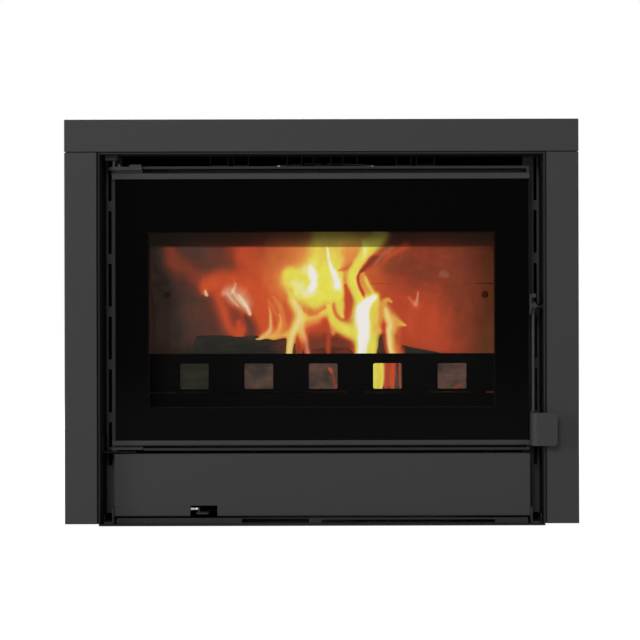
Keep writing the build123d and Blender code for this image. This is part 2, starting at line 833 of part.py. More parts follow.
def log_retainer():
    """Cast bar with five windows, standing on small feet."""
    depth = (retainer_depth, retainer_depth + retainer_thickness)
    z = (retainer_low, retainer_low + retainer_height)
    half = mouth_half - retainer_play
    bar = rounded((-half, half), depth, z, 3, Axis.Y)
    sill = retainer_low + window_sill
    for step in range(windows):
        x = (step - (windows - 1) / 2) * window_pitch
        limits = (x - window_width / 2, x + window_width / 2)
        hole_depth = (depth[0] - 1, depth[1] + 1)
        bar -= rounded(limits, hole_depth, (sill, sill + window_height), window_corner, Axis.Y)
    for x in (-1.5 * window_pitch, -0.5 * window_pitch, 0.5 * window_pitch, 1.5 * window_pitch):
        bar += block((x - 12, x + 12), depth, (retainer_low - retainer_foot, retainer_low + 1))
    return bar


def baffle():
    """Slab over the fire that sends the smoke round its front edge; it lies on the side slabs."""
    x = (-wall_inside + lining_play, wall_inside - lining_play)
    depth = (baffle_front, lining_face - lining_play)
    return slab(x, depth, (baffle_low, baffle_low + baffle_thickness))


def smoke_plate():
    x = (-wall_inside + lining_play, wall_inside - lining_play)
    low = mouth_high + smoke_plate_rise
    plate = block(x, (inside_front + 2, smoke_plate_back), (low, low + smoke_plate_sheet))
    hem_depth = (smoke_plate_back - smoke_plate_sheet, smoke_plate_back)
    return plate + block(x, hem_depth, (low, low + smoke_plate_hem))


def smoke_lugs():
    """Four lugs on the firebox walls under the smoke plate."""
    lugs = []
    lug_x = (wall_inside - smoke_lug_reach, wall_inside)
    seat = mouth_high + smoke_plate_rise
    lug_z = (seat - smoke_lug_height, seat)
    for depth in smoke_lug_depths:
        lug = block(lug_x, (depth, depth + smoke_lug_length), lug_z)
        lugs += [lug, mirrored(lug)]
    return lugs


def air_wash_channel():
    """Folded duct over the mouth that blows air down the inside of the glass."""
    half = wall_inside - 2 * lining_play
    top = mouth_high - wash_drop
    back = flange_back + wash_depth
    points = [(flange_back, top), (back, top), (back, top - wash_height), (back - wash_lip, top - wash_height)]
    return fold(points, wash_sheet, wash_sheet + 1, (-half, half), "x", Side.RIGHT)


def inside_parts():
    lining = side_lining()
    save("side_lining_right", lining)
    save("side_lining_left", mirrored(lining))
    seam = baffle_low - lining_seam
    lower = back_lining((hearth_top, seam - fit_gap), lining_bolt_centres())
    save("back_lining_lower", lower)
    save("back_lining_upper", back_lining((seam + fit_gap, mouth_high - lining_drop)))
    save("lining_bolts", *lining_bolts())
    save("hearth_plate", hearth_plate())
    save("hearth_rails", *hearth_rails())
    save("grate", grate())
    save("ash_pan", ash_pan())
    save("hearth_lip", hearth_lip())
    save("log_retainer", log_retainer())
    save("baffle_plate", baffle())
    save("smoke_plate", smoke_plate())
    save("smoke_lugs", *smoke_lugs())
    save("air_wash_channel", air_wash_channel())


# ---------------------------------------------------------------- combustion air
def air_box():
    """Open-topped tub under the firebox floor: the inlet and the slider feed it."""
    x = (air_x - air_box_width / 2, air_x + air_box_width / 2)
    depth = (air_box_front, air_box_back)
    wall = air_box_sheet
    tub = rounded(x, depth, (air_box_low, firebox_low), 4, Axis.Z)
    hollow_x = (x[0] + wall, x[1] - wall)
    hollow_depth = (depth[0] + wall, depth[1] - wall)
    tub -= rounded(hollow_x, hollow_depth, (air_box_low + wall, firebox_low + 1), 4 - wall, Axis.Z)
    inlet = inlet_bore + inlet_wall + fit_gap
    tub -= rod((air_x, inlet_depth), inlet, (air_box_low - 1, air_box_low + wall + 1), "z")
    slot_depth = (slider_front + slider_slot_inset, slider_back - slider_slot_inset)
    for slot in air_slots(air_box_low - 1, air_box_low + wall + 1, *slot_depth):
        tub -= slot
    return tub


def air_inlet_collar():
    """Short tube for an outside-air duct, up through the base into the air box."""
    outer = rod((air_x, inlet_depth), inlet_bore + inlet_wall, (0, inlet_height), "z")
    return outer - rod((air_x, inlet_depth), inlet_bore, (-1, inlet_height + 1), "z")


def air_slider():
    """Flat shutter with a tab that comes out through the flap's notch, and a lug for its tip."""
    z = (slider_z, slider_z + slider_thickness)
    x = (air_x - slider_width / 2, air_x + slider_width / 2)
    plate = rounded(x, (slider_front, slider_back), z, 3, Axis.Z)
    slot_depth = (slider_front + slider_slot_inset, slider_back - slider_slot_inset)
    for slot in air_slots(z[0] - 1, z[1] + 1, *slot_depth):
        plate -= slot
    tab = block((tab_from, tab_to), (tab_front, slider_front + 1), z)
    tab = fillet(tab.edges().filter_by(Axis.Z).sort_by(Axis.Y)[:2], 2)
    lug_depth = (tip_depth - tip_radius, tip_depth + tip_radius)
    lug = block((tip_right, tip_right + slider_thickness), lug_depth, (slider_z, tip_z + tip_radius))
    return plate + tab + lug


def air_slider_tip():
    """Small turned steel tip, thicker at its free end."""
    outline = Polyline(
        (0, 0), (tip_radius - 0.9, 0), (tip_radius - 0.8, tip_length * 0.55),
        (tip_radius, tip_length - 1), (tip_radius - 1, tip_length), (0, tip_length), close=True)
    tip = revolve(Plane.XZ * make_face(outline), Axis.Z)
    return Pos(tip_right, tip_depth, tip_z) * Rot(0, -90, 0) * tip


def slider_guides():
    """Z-sections on the base that carry the slider's edges."""
    edge = slider_width / 2
    flange_top = slider_z - slide_gap
    left = air_x - edge
    points = [(left - guide_foot, casing_sheet), (left, casing_sheet)]
    points += [(left, flange_top - guide_sheet), (left + guide_ledge, flange_top - guide_sheet)]
    guide = fold(points, guide_sheet, 2, (slider_front + 2, slider_back - 2), "y", Side.LEFT)
    other = Pos(2 * air_x, 0, 0) * mirror(guide, about=Plane.YZ)
    return [guide, other]


def air_parts():
    save("air_box", air_box())
    save("air_inlet_collar", air_inlet_collar())
    save("air_slider", air_slider())
    save("air_slider_tip", air_slider_tip())
    save("slider_guides", *slider_guides())


# ---------------------------------------------------------------- flap
def ash_flap():
    """Folded panel that drops forward on two pins, notched round the air slider's tab."""
    back = flap_front + flap_upper_return
    points = [(flap_front + flap_lower_return, flap_low), (flap_front, flap_low), (flap_front, flap_top)]
    points += [(back, flap_top), (back, flap_top - flap_hem)]
    panel = fold(points, flap_sheet, flap_bend, (-flap_half, flap_half), "x", Side.RIGHT)
    ear_x = (flap_half - flap_sheet, flap_half)
    ear_depth = (flap_front + flap_bend, flap_front + flap_side_return)
    ear = block(ear_x, ear_depth, (flap_low + flap_sheet, flap_top - flap_sheet))
    ear += block(ear_x, (flap_front + flap_sheet, flap_front + flap_bend), (flap_low + 3, flap_top - 3))
    panel = panel + ear + mirrored(ear)
    through = (flap_front - 1, flap_front + flap_lower_return + 1)
    notch = rounded((notch_from, notch_to), through, (flap_low - 5, notch_top), notch_corner, Axis.Y)
    centre = (flap_axis_depth, flap_axis_z)
    bore = rod(centre, flap_pin_radius + running_gap, (flap_half - 4, flap_half + 1), "x")
    return panel - notch - bore - mirrored(bore)


def flap_bracket():
    """Right bracket on the base that holds the flap's pin."""
    inner = flap_half + flap_bracket_gap
    points = [(inner, flap_axis_z + flap_bracket_rise), (inner, casing_sheet)]
    points.append((inner + flap_bracket_foot, casing_sheet))
    bracket = fold(points, flap_bracket_sheet, flap_bracket_sheet + 1, flap_bracket_span, "y", Side.LEFT)
    through = (inner - 1, inner + flap_bracket_sheet + 1)
    return bracket - rod((flap_axis_depth, flap_axis_z), flap_pin_radius + running_gap, through, "x")


def flap_pin():
    seat = flap_half + flap_bracket_gap + flap_bracket_sheet
    centre = (flap_axis_depth, flap_axis_z)
    shank = rod(centre, flap_pin_radius, (flap_half - flap_sheet, seat), "x")
    return shank + dome(centre, flap_pin_radius + flap_pin_head, flap_pin_head, seat, "x", 1)


def flap_parts():
    save("ash_flap", ash_flap())
    bracket = flap_bracket()
    save("flap_brackets", bracket, mirrored(bracket))
    pin = flap_pin()
    save("flap_pins", pin, mirrored(pin))


# ---------------------------------------------------------------- door
def ring(x, y, z, width, corner):
    """A rectangular ring whose outer limits are x and z, with its inside rounded."""
    outer = block((-x, x), y, z)
    inner_z = (z[0] + width, z[1] - width)
    deep = (y[0] - 1, y[1] + 1)
    return outer - rounded((-x + width, x - width), deep, inner_z, corner, Axis.Y)


def door_frame():
    """Cast frame: a ribbed plate with a seal groove behind and lugs for the hinge arms."""
    whole_z = (door_low, door_top)
    depth = (door_plate_front, door_back)
    mouth_z = (door_mouth_low, door_mouth_high)
    through = (door_rim_front - 1, door_back + 1)
    opening = rounded((-mouth_half, mouth_half), through, mouth_z, mouth_corner, Axis.Y)
    plate = block((-door_half, door_half), depth, whole_z)
    rib_depth = (door_rim_front, door_plate_front)
    outer_rib = ring(door_half, rib_depth, whole_z, door_rib, rib_corner)
    collar_x = (-mouth_half - door_rib, mouth_half + door_rib)
    collar_z = (door_mouth_low - door_rib, door_mouth_high + door_rib)
    inner_rib = rounded(collar_x, rib_depth, collar_z, mouth_corner + door_rib, Axis.Y)
    lug_x = (-door_half + door_rib, hinge_notch_x)
    lug_depth = (door_rim_front, door_plate_front)
    upper_lug = block(lug_x, lug_depth, (arm_top_low - lug_height, arm_top_low))
    lower_lug = block(lug_x, lug_depth, (arm_bottom_high, arm_bottom_high + lug_height))
    frame = plate + outer_rib + inner_rib + upper_lug + lower_lug - opening
    notch_x = (-door_half - 1, hinge_notch_x)
    frame -= block(notch_x, through, (arm_top_low, door_top + 1))
    frame -= block(notch_x, through, (door_low - 1, arm_bottom_high))
    half = seal_groove_width / 2
    groove_depth = (groove_bottom, door_back + 1)
    groove_x = seal_x + half
    groove_z = (seal_low - half, seal_high + half)
    groove = rounded((-groove_x, groove_x), groove_depth, groove_z, seal_corner + half, Axis.Y)
    core_x = seal_x - half
    core_z = (seal_low + half, seal_high - half)
    groove -= rounded((-core_x, core_x), groove_depth, core_z, seal_corner - half, Axis.Y)
    return frame - groove


def seal_rope():
    """Rope seal pressed between the groove and the firebox flange."""
    centre = groove_bottom + fit_gap + seal_diameter / 2
    middle_z = (seal_low + seal_high) / 2
    loop = RectangleRounded(2 * seal_x, seal_high - seal_low, seal_corner)
    path = Pos(0, centre, middle_z) * Plane.XZ.location * loop.wire()
    start = path @ 0
    section = Plane(origin=start, z_dir=path % 0) * Circle(seal_diameter / 2)
    return sweep(section, path=path)


def door_glass():
    """Ceramic glass between the two profiles, edges ground."""
    z = (profile_bottom_low + profile_sheet + 0.5, profile_top_high - profile_sheet - 0.5)
    pane = block((-glass_half, glass_half), (glass_front, glass_back), z)
    return chamfer(pane.edges(), glass_edge)


def glass_gasket():
    """Flat tape between the glass and the frame's inner rib."""
    play = fit_gap / 2
    half = mouth_half + gasket_width
    z = (door_mouth_low - gasket_width, door_mouth_high + gasket_width)
    return ring(half, (glass_back + play, door_rim_front - play), z, gasket_width, mouth_corner)


def door_profile(points, side):
    """A folded profile: a lip over the glass, a web back to the frame and a screwed flange."""
    profile_x = (-door_half - profile_left_reach, door_half)
    strip = fold(points, profile_sheet, profile_bend, profile_x, "x", side)
    behind = (door_rim_front - fit_gap, door_back)
    all_z = (0, casing_height)
    strip -= block((-door_half - 10, hinge_notch_x + fit_gap), behind, all_z)
    strip -= block((door_half - door_rib - rib_corner, door_half + 10), behind, all_z)
    screw_span = (door_plate_front - 8, door_plate_front + 1)
    for x in profile_screw_places():
        for z in (profile_screw_top(), profile_screw_bottom()):
            strip -= rod((x, z), profile_screw_radius + bolt_play, screw_span, "y")
    return strip


def profile_screw_places():
    """The left screws stand just clear of the hinge lugs."""
    return (hinge_notch_x + profile_screw_space, 0, profile_screw_x)


def profile_screw_top():
    return profile_top_high + profile_bend + profile_screw_head + 0.1


def profile_screw_bottom():
    return profile_bottom_low + profile_sheet + 5


def profile_screws():
    """Short screws through the profiles' flanges; their heads show over the upper profile."""
    seat = door_plate_front - profile_sheet
    for x in profile_screw_places():
        centre = (x, profile_screw_top())
        shank = rod(centre, profile_screw_radius, (seat, door_plate_front), "y")
        yield dome(centre, profile_screw_head, 1.8, seat, "y", -1) + shank


def door_parts():
    save("door_frame", door_frame())
    save("door_seal_rope", seal_rope())
    save("door_glass", door_glass())
    save("glass_gasket", glass_gasket())
    flange = door_plate_front - profile_sheet
    top = [(door_front, profile_top_low), (door_front, profile_top_high)]
    top += [(flange, profile_top_high), (flange, profile_top_high + profile_flange_up)]
    save("door_profile_top", door_profile(top, Side.RIGHT))
    bottom = [(door_front, profile_bottom_high), (door_front, profile_bottom_low)]
    bottom += [(flange, profile_bottom_low), (flange, profile_bottom_low - profile_flange_down)]
    save("door_profile_bottom", door_profile(bottom, Side.LEFT))
    save("door_profile_screws", *profile_screws())


# ---------------------------------------------------------------- hinges
def hinge_arm(z, pad):
    """Flat arm with an eye round the pin, fixed in the frame's cut-away corner."""
    centre = (hinge_x, hinge_depth)
    depth = (hinge_depth - hinge_eye_radius, hinge_depth + hinge_eye_radius)
    arm = block((hinge_x, hinge_arm_end), depth, z) + rod(centre, hinge_eye_radius, z, "z")
    if pad:
        pad_depth = (depth[0] + 2, depth[1] - 2)
        arm += rounded(arm_pad_limits(), pad_depth, (z[1], z[1] + arm_pad_height), 2, Axis.Z)
    return arm - rod(centre, hinge_pin_radius + running_gap, (z[0] - 1, z[1] + 1), "z")


def arm_pad_limits():
    end = hinge_arm_end - arm_pad_inset
    return (end - arm_pad_length, end)


def hinge_bracket_top():
    """Block under the casing's lid that holds the upper pin."""
    z = (bracket_top_low, lid_low)
    bar = rounded((hinge_x - 13, hinge_x + 7), (hinge_depth - 11, hinge_depth + 20), z, 2, Axis.Z)
    bore = rod((hinge_x, hinge_depth), hinge_pin_radius + running_gap, (z[0] - 1, z[1] + 1), "z")
    return bar - bore


def hinge_bracket_bottom():
    """Angle on the casing's left wall that holds the lower pin."""
    points = [(hinge_x + bracket_bottom_reach, bracket_bottom_low), (-tray_half, bracket_bottom_low)]
    points.append((-tray_half, bracket_bottom_low + bracket_bottom_height))
    span = (hinge_depth - 12, hinge_depth + 26)
    angle = fold(points, bracket_bottom_sheet, bracket_bottom_sheet + 1, span, "y", Side.RIGHT)
    bore_z = (bracket_bottom_low - 1, bracket_bottom_top + 1)
    return angle - rod((hinge_x, hinge_depth), hinge_pin_radius + running_gap, bore_z, "z")


def hinge_pins():
    """The upper pin hangs from its block; the lower one has a shoulder that the arm turns on."""
    centre = (hinge_x, hinge_depth)
    upper = rod(centre, hinge_pin_radius, (arm_top_low, lid_low), "z")
    lower = rod(centre, hinge_pin_radius, (bracket_bottom_low, arm_bottom_high), "z")
    shoulder = (bracket_bottom_top, arm_bottom_low - fit_gap / 2)
    return [upper, lower + rod(centre, hinge_eye_radius - 1, shoulder, "z")]


def hinge_screws():
    """Screws that hold the arms on the frame, with the small nut beside the upper pin."""
    nut_x = hinge_x + hinge_pin_radius + hinge_screw_head + 1.8
    yield rod((nut_x, hinge_depth - 3), hinge_screw_head, (arm_top_high, arm_top_high + 3.4), "z")
    pad_top = arm_top_high + arm_pad_height
    start, end = arm_pad_limits()
    for x in (start + 6, end - 5):
        yield dome((x, hinge_depth), 3, 1.6, pad_top, "z", 1)
    for inset in arm_screw_insets:
        yield dome((hinge_arm_end - inset, hinge_depth), 3, 1.4, arm_bottom_low, "z", -1)


def hinge_parts():
    save("hinge_bracket_top", hinge_bracket_top())
    save("hinge_bracket_bottom", hinge_bracket_bottom())
    save("hinge_pins", *hinge_pins())
    save("hinge_arm_top", hinge_arm((arm_top_low, arm_top_high), True))
    save("hinge_arm_bottom", hinge_arm((arm_bottom_low, arm_bottom_high), False))
    save("hinge_screws", *hinge_screws())


# ---------------------------------------------------------------- latch
latch_centre = (latch_depth, latch_z)
striker_centre = (latch_depth, striker_z)
pivot_head = 1.4
striker_from = hub_to + fit_gap + pivot_head + 1    # free end of the striker


def latch_bracket():
    """Plate on the door's right side that carries the lever, with a stop block above the hub."""
    plate_x = (door_half, door_half + latch_plate)
    depth = (latch_plate_front, latch_plate_back)
    plate = rounded(plate_x, depth, (latch_plate_low, latch_plate_high), 4, Axis.X)
    stop_depth = (latch_depth - 6, latch_depth + 6)
    stop_z = (latch_plate_high - 7, latch_plate_high)
    stop = rounded((plate_x[1], hub_to), stop_depth, stop_z, 1.5, Axis.X)
    bore = rod(latch_centre, latch_pin_radius + running_gap, (door_half - 1, plate_x[1] + 1), "x")
    return plate + stop - bore


def latch_pivot_pin():
    head_seat = hub_to + fit_gap
    shank = rod(latch_centre, latch_pin_radius, (door_half, head_seat), "x")
    return shank + rod(latch_centre, latch_pin_radius + 1.8, (head_seat, head_seat + pivot_head), "x")


def latch_lever():
    """Hub with a hook behind it, and the round rod that hangs down to the grip."""
    hub = rod(latch_centre, hub_radius, (hub_from, hub_to), "x")
    claw_x = (hub_to - claw_sheet, hub_to)
    claw_back = latch_depth + claw_reach
    arm = block(claw_x, (latch_depth, claw_back), (latch_z - claw_half, latch_z + claw_half))
    hook = block(claw_x, (claw_back - claw_width, claw_back), (latch_z - claw_drop, latch_z + claw_half))
    claw = arm + hook
    claw = fillet(claw.edges().filter_by(Axis.X).sort_by(Axis.Y)[-2:], 2)
    bar = rod((rod_x, latch_depth), rod_radius, (rod_low, latch_z - 3), "z")
    collar = rod((rod_x, latch_depth), rod_radius + 1.4, (grip_high + fit_gap, grip_high + 2.3), "z")
    beside = (latch_depth - hub_radius, latch_depth + hub_radius)
    collar -= block((door_half - 5, grip_left), beside, (grip_high - 5, grip_high + 5))
    bore = rod(latch_centre, latch_pin_radius + running_gap, (hub_from - 1, hub_to + 1), "x")
    return hub + claw + bar + collar - bore


def latch_grip():
    """Bent plate: one leg beside the rod, the other across the front of the right trim leg."""
    points = [(grip_right, grip_front), (grip_left, grip_front), (grip_left, grip_back)]
    grip = fold(points, grip_sheet, grip_bend, (grip_low, grip_high), "z", Side.RIGHT)
    return fillet(grip.edges().filter_by(Axis.Y).sort_by(Axis.X)[-2:], grip_corner)


def striker_stud():
    """Stud on the casing's right wall, headed at its free end."""
    stud = rod(striker_centre, striker_radius, (striker_from, casing_inside), "x")
    head = rod(striker_centre, striker_radius + 1.2, (striker_from, striker_from + striker_head), "x")
    base = rod(striker_centre, striker_radius + 3.5, (casing_inside - striker_base, casing_inside), "x")
    return stud + head + base


def striker_roller():
    """Waisted roller that turns on the stud."""
    start = striker_from + striker_head + fit_gap
    end = casing_inside - striker_base - fit_gap
    bore = striker_radius + running_gap
    outline = Polyline(
        (bore, start), (roller_radius, start), (roller_radius, start + roller_shoulder),
        (roller_waist, start + roller_shoulder + 0.6), (roller_waist, end - roller_shoulder - 0.6),
        (roller_radius, end - roller_shoulder), (roller_radius, end), (bore, end), close=True)
    roller = revolve(Plane.XZ * make_face(outline), Axis.Z)
    return Pos(0, striker_centre[0], striker_centre[1]) * Rot(0, 90, 0) * roller


def latch_parts():
    save("latch_bracket", latch_bracket())
    save("latch_pivot_pin", latch_pivot_pin())
    save("latch_lever", latch_lever())
    save("latch_grip", latch_grip())
    save("striker_stud", striker_stud())
    save("striker_roller", striker_roller())


trim_parts()
casing_parts()
firebox_parts()
inside_parts()
air_parts()
flap_parts()
door_parts()
hinge_parts()
latch_parts()
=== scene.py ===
import bpy
import math
import numpy as np
from mathutils import Matrix, Vector, noise


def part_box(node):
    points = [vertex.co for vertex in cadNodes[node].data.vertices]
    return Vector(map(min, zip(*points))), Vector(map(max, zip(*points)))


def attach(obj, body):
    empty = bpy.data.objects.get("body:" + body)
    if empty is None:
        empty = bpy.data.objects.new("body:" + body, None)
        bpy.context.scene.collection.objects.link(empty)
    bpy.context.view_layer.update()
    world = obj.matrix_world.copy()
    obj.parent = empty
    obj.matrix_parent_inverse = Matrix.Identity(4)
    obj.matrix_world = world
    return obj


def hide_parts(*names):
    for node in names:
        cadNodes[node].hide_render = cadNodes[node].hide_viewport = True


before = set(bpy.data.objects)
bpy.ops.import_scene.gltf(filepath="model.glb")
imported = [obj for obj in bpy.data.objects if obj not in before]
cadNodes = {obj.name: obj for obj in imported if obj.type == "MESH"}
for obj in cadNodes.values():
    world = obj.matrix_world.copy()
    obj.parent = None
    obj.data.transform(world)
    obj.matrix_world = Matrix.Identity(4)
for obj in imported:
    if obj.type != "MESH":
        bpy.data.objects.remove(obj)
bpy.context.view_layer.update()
scene = bpy.context.scene
print("frame loaded:", len(cadNodes), "nodes")

viewing = {
    "distance": 3.0,       # from the camera to the trim's front plane
    "side": 0.08,          # camera to the right of the middle
    "height": 0.32,
    "lens": 108.6,
    "sensor": 36,
    "shiftX": -0.083,
    "roll": 0.13,          # degrees, the right side hangs a little lower
    "clipStart": 0.05,
}
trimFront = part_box("surround_top_bar")[0].y


def placeSeen(x, z, depth):
    # x and z are in millimetres on the trim's front plane, as the camera sees them; the place lies
    # on that line of sight, at its real depth behind the plane
    stretch = 1 + depth / viewing["distance"]
    trueX = (x / 1000 - viewing["side"]) * stretch + viewing["side"]
    trueZ = (z / 1000 - viewing["height"]) * stretch + viewing["height"]
    return trueX, trimFront + depth, trueZ


# helpers for material nodes
def newMaterial(name):
    material = bpy.data.materials.new(name)
    material.use_nodes = True
    tree = material.node_tree
    tree.nodes.clear()
    output = tree.nodes.new("ShaderNodeOutputMaterial")
    return material, tree, output


def setInput(tree, socket, value):
    if isinstance(value, (int, float)):
        socket.default_value = value
    elif isinstance(value, (tuple, list)):
        socket.default_value = (*value, 1) if len(socket.default_value) == 4 else value
    elif value is not None:
        tree.links.new(value, socket)


def newNode(tree, kind, **values):
    # the values are the node's inputs by name, with an underscore for a space
    node = tree.nodes.new("ShaderNode" + kind)
    for name, value in values.items():
        setInput(tree, node.inputs[name.replace("_", " ")], value)
    return node


def maths(tree, operation, first, second=None, third=None):
    node = newNode(tree, "Math")
    node.operation = operation
    for slot, value in enumerate((first, second, third)):
        setInput(tree, node.inputs[slot], value)
    return node.outputs[0]


def step(tree, value, low, high, toLow=0.0, toHigh=1.0):
    node = newNode(tree, "MapRange", Value=value, From_Min=low, From_Max=high, To_Min=toLow, To_Max=toHigh)
    node.interpolation_type = "SMOOTHSTEP"
    return node.outputs["Result"]


def coordinates(tree, kind="Object"):
    return newNode(tree, "TexCoord").outputs[kind]


def axis(tree, place, letter):
    return newNode(tree, "SeparateXYZ", Vector=place).outputs[letter]


def cloud(tree, place, scale, detail, stretch=None):
    if stretch:
        place = newNode(tree, "Mapping", Vector=place, Scale=stretch).outputs[0]
    node = newNode(tree, "TexNoise", Vector=place, Scale=scale, Detail=detail, Roughness=0.55)
    return node.outputs["Fac"]


def cells(tree, place, scale):
    return newNode(tree, "TexVoronoi", Vector=place, Scale=scale).outputs["Distance"]


def ramp(tree, value, stops):
    node = newNode(tree, "ValToRGB", Fac=value)
    elements = node.color_ramp.elements
    while len(elements) < len(stops):
        elements.new(0.5)
    for element, (position, colour) in zip(elements, stops):
        element.position = position
        element.color = (*colour, 1)
    return node.outputs["Color"]


def blendColours(tree, factor, first, second, kind="MIX"):
    node = newNode(tree, "Mix")
    node.data_type = "RGBA"
    node.blend_type = kind
    for slot, value in ((0, factor), (6, first), (7, second)):
        setInput(tree, node.inputs[slot], value)
    return node.outputs[2]


def bump(tree, height, strength, distance):
    return newNode(tree, "Bump", Height=height, Strength=strength, Distance=distance).outputs["Normal"]


def surface(tree, output, colour, roughness, normal=None, **sockets):
    shader = newNode(tree, "BsdfPrincipled", Base_Color=colour, Roughness=roughness, Normal=normal,
                     **sockets)
    tree.links.new(shader.outputs[0], output.inputs["Surface"])


def mixShaders(tree, output, factor, first, second):
    mix = newNode(tree, "MixShader")
    for slot, value in enumerate((factor, first.outputs[0], second.outputs[0])):
        tree.links.new(value, mix.inputs[slot])
    tree.links.new(mix.outputs[0], output.inputs["Surface"])


def shade(red, green=None, blue=None):
    # a colour read as 0-255 screen values, one alone for a grey
    levels = (red, red if green is None else green, red if blue is None else blue)
    return tuple(((v / 255 + 0.055) / 1.055) ** 2.4 if v > 10 else v / 255 / 12.92 for v in levels)


def darker(colour, share):
    return tuple(value * share for value in colour)


# finishes; a cloud in their settings is its scale, its detail and, where it is drawn out, its stretch
paintLook = {
    "drift": (5, 2),
    "driftTone": 0.16,
    "specks": (1500, 2),
    "speckTone": 0.10,
    "speckDepth": 0.0002,
    "toneFrom": 0.92,
    "darkest": 0.8,
    "roughSpread": 0.12,
    "highlightFacing": (-0.85, -0.97),     # the facing where the painted edge highlight starts, and where it is full
    "gloss": 0.2,
}


def heatproofPaint(name, colour, roughness, grain=0.1, edge=None):
    # edge is a painted highlight: a lighter colour on the faces that face the front, where the front edges
    # catch the light
    look = paintLook
    material, tree, output = newMaterial(name)
    place = coordinates(tree)
    drift = cloud(tree, place, *look["drift"])
    specks = cloud(tree, place, *look["specks"])
    tone = maths(tree, "MULTIPLY_ADD", drift, look["driftTone"], look["toneFrom"])
    tone = maths(tree, "MULTIPLY_ADD", specks, look["speckTone"], tone)
    greys = ramp(tree, tone, [(look["darkest"], (look["darkest"],) * 3), (1.0, (1.0,) * 3)])
    base = blendColours(tree, 1.0, colour, greys, "MULTIPLY")
    if edge:
        # painted highlight: the faces that face the front take the lighter edge colour
        facing = axis(tree, coordinates(tree, "Normal"), "Y")
        base = blendColours(tree, step(tree, facing, *look["highlightFacing"]), base, edge)
    rough = maths(tree, "MULTIPLY_ADD", specks, look["roughSpread"], roughness - look["roughSpread"] / 2)
    normal = bump(tree, specks, grain, look["speckDepth"])
    surface(tree, output, base, rough, normal, Specular_IOR_Level=look["gloss"])
    return material


ironLook = {
    "pits": (420, 4),
    "pitStrength": 0.35,
    "pitDepth": 0.0006,
    "patches": (14, 3),
    "patchTone": 0.5,
    "toneFrom": 0.75,
    "darkShare": 0.55,
}


def castIron(name, colour, roughness=0.75, gloss=0.25):
    look = ironLook
    material, tree, output = newMaterial(name)
    place = coordinates(tree)
    pits = cloud(tree, place, *look["pits"])
    patches = cloud(tree, place, *look["patches"])
    tone = maths(tree, "MULTIPLY_ADD", patches, look["patchTone"], look["toneFrom"])
    base = blendColours(tree, tone, darker(colour, look["darkShare"]), colour)
    normal = bump(tree, pits, look["pitStrength"], look["pitDepth"])
    surface(tree, output, base, roughness, normal, Specular_IOR_Level=gloss)
    return material


steelLook = {
    "lines": (900, 2, (1, 12, 12)),
    "lineStrength": 0.1,
    "lineDepth": 0.0001,
    "stains": (60, 3),
    "stainShare": 0.6,
    "darkShare": 0.6,
    "roughSpread": 0.2,
}


def turnedSteel(name, colour, roughness, metallic=1.0):
    look = steelLook
    material, tree, output = newMaterial(name)
    place = coordinates(tree)
    lines = cloud(tree, place, *look["lines"])
    stains = cloud(tree, place, *look["stains"])
    stained = maths(tree, "MULTIPLY", stains, look["stainShare"])
    base = blendColours(tree, stained, colour, darker(colour, look["darkShare"]))
    rough = maths(tree, "MULTIPLY_ADD", lines, look["roughSpread"], roughness - look["roughSpread"] / 2)
    surface(tree, output, base, rough, bump(tree, lines, look["lineStrength"], look["lineDepth"]),
            Metallic=metallic)
    return material


# firelight on the firebox's walls, as a colour along X and as a strength over the height
glow = {
    "half": 0.285,             # from the middle to the first and the last colour
    "colours": [
        (0.00, shade(30, 24, 20)), (0.09, shade(50, 36, 30)), (0.17, shade(86, 56, 48)),
        (0.27, shade(140, 62, 46)), (0.36, shade(186, 70, 44)), (0.62, shade(196, 78, 44)),
        (0.74, shade(188, 70, 46)), (0.84, shade(150, 62, 42)), (0.93, shade(118, 60, 38)),
        (1.00, shade(96, 54, 32)),
    ],
    "warps": (7, 2),
    "warp": 0.16,
    "streaks": (9.0, 4, (1, 1, 0.45)),
    "streakSteps": (0.3, 0.7, 0.45, 1.1),      # from, to, and the strengths there
    "lowSteps": (0.18, 0.26, 0.25, 1.0),
    "highSteps": (0.36, 0.47, 1.0, 0.62),
    "upwardSteps": (0.2, 0.8, 1.0, 0.0),       # what faces up gets no flame light
}


def firelight(tree, strength):
    place = coordinates(tree)
    x = axis(tree, place, "X")
    z = axis(tree, place, "Z")
    upward = axis(tree, coordinates(tree, "Normal"), "Z")
    warp = cloud(tree, place, *glow["warps"])
    along = maths(tree, "MULTIPLY_ADD", maths(tree, "SUBTRACT", warp, 0.5), glow["warp"], x)
    share = maths(tree, "MULTIPLY_ADD", along, 0.5 / glow["half"], 0.5)
    colour = ramp(tree, share, glow["colours"])
    streaks = cloud(tree, place, *glow["streaks"])
    power = step(tree, streaks, *glow["streakSteps"])
    power = maths(tree, "MULTIPLY", power, step(tree, z, *glow["lowSteps"]))
    power = maths(tree, "MULTIPLY", power, step(tree, z, *glow["highSteps"]))
    power = maths(tree, "MULTIPLY", power, step(tree, upward, *glow["upwardSteps"]))
    return colour, maths(tree, "MULTIPLY", power, strength)


liningLook = {
    "flakeScale": 260,
    "flakeShare": 0.5,
    "flakeStrength": 0.4,
    "flakeDepth": 0.0008,
    "soot": (6, 4),
    "cleanColour": shade(70, 54, 44),
    "filmColour": shade(34, 28, 25),
    "flakeColour": darker(shade(90, 72, 60), 0.6),
    "roughness": 0.95,
    "gloss": 0.1,
}


def pressedLining(name, strength):
    look = liningLook
    material, tree, output = newMaterial(name)
    place = coordinates(tree)
    flakes = cells(tree, place, look["flakeScale"])
    soot = cloud(tree, place, *look["soot"])
    base = blendColours(tree, soot, look["cleanColour"], look["filmColour"])
    flaked = maths(tree, "MULTIPLY", flakes, look["flakeShare"])
    base = blendColours(tree, flaked, base, look["flakeColour"])
    colour, power = firelight(tree, strength)
    normal = bump(tree, flakes, look["flakeStrength"], look["flakeDepth"])
    surface(tree, output, base, look["roughness"], normal, Specular_IOR_Level=look["gloss"],
            Emission_Color=colour, Emission_Strength=power)
    return material


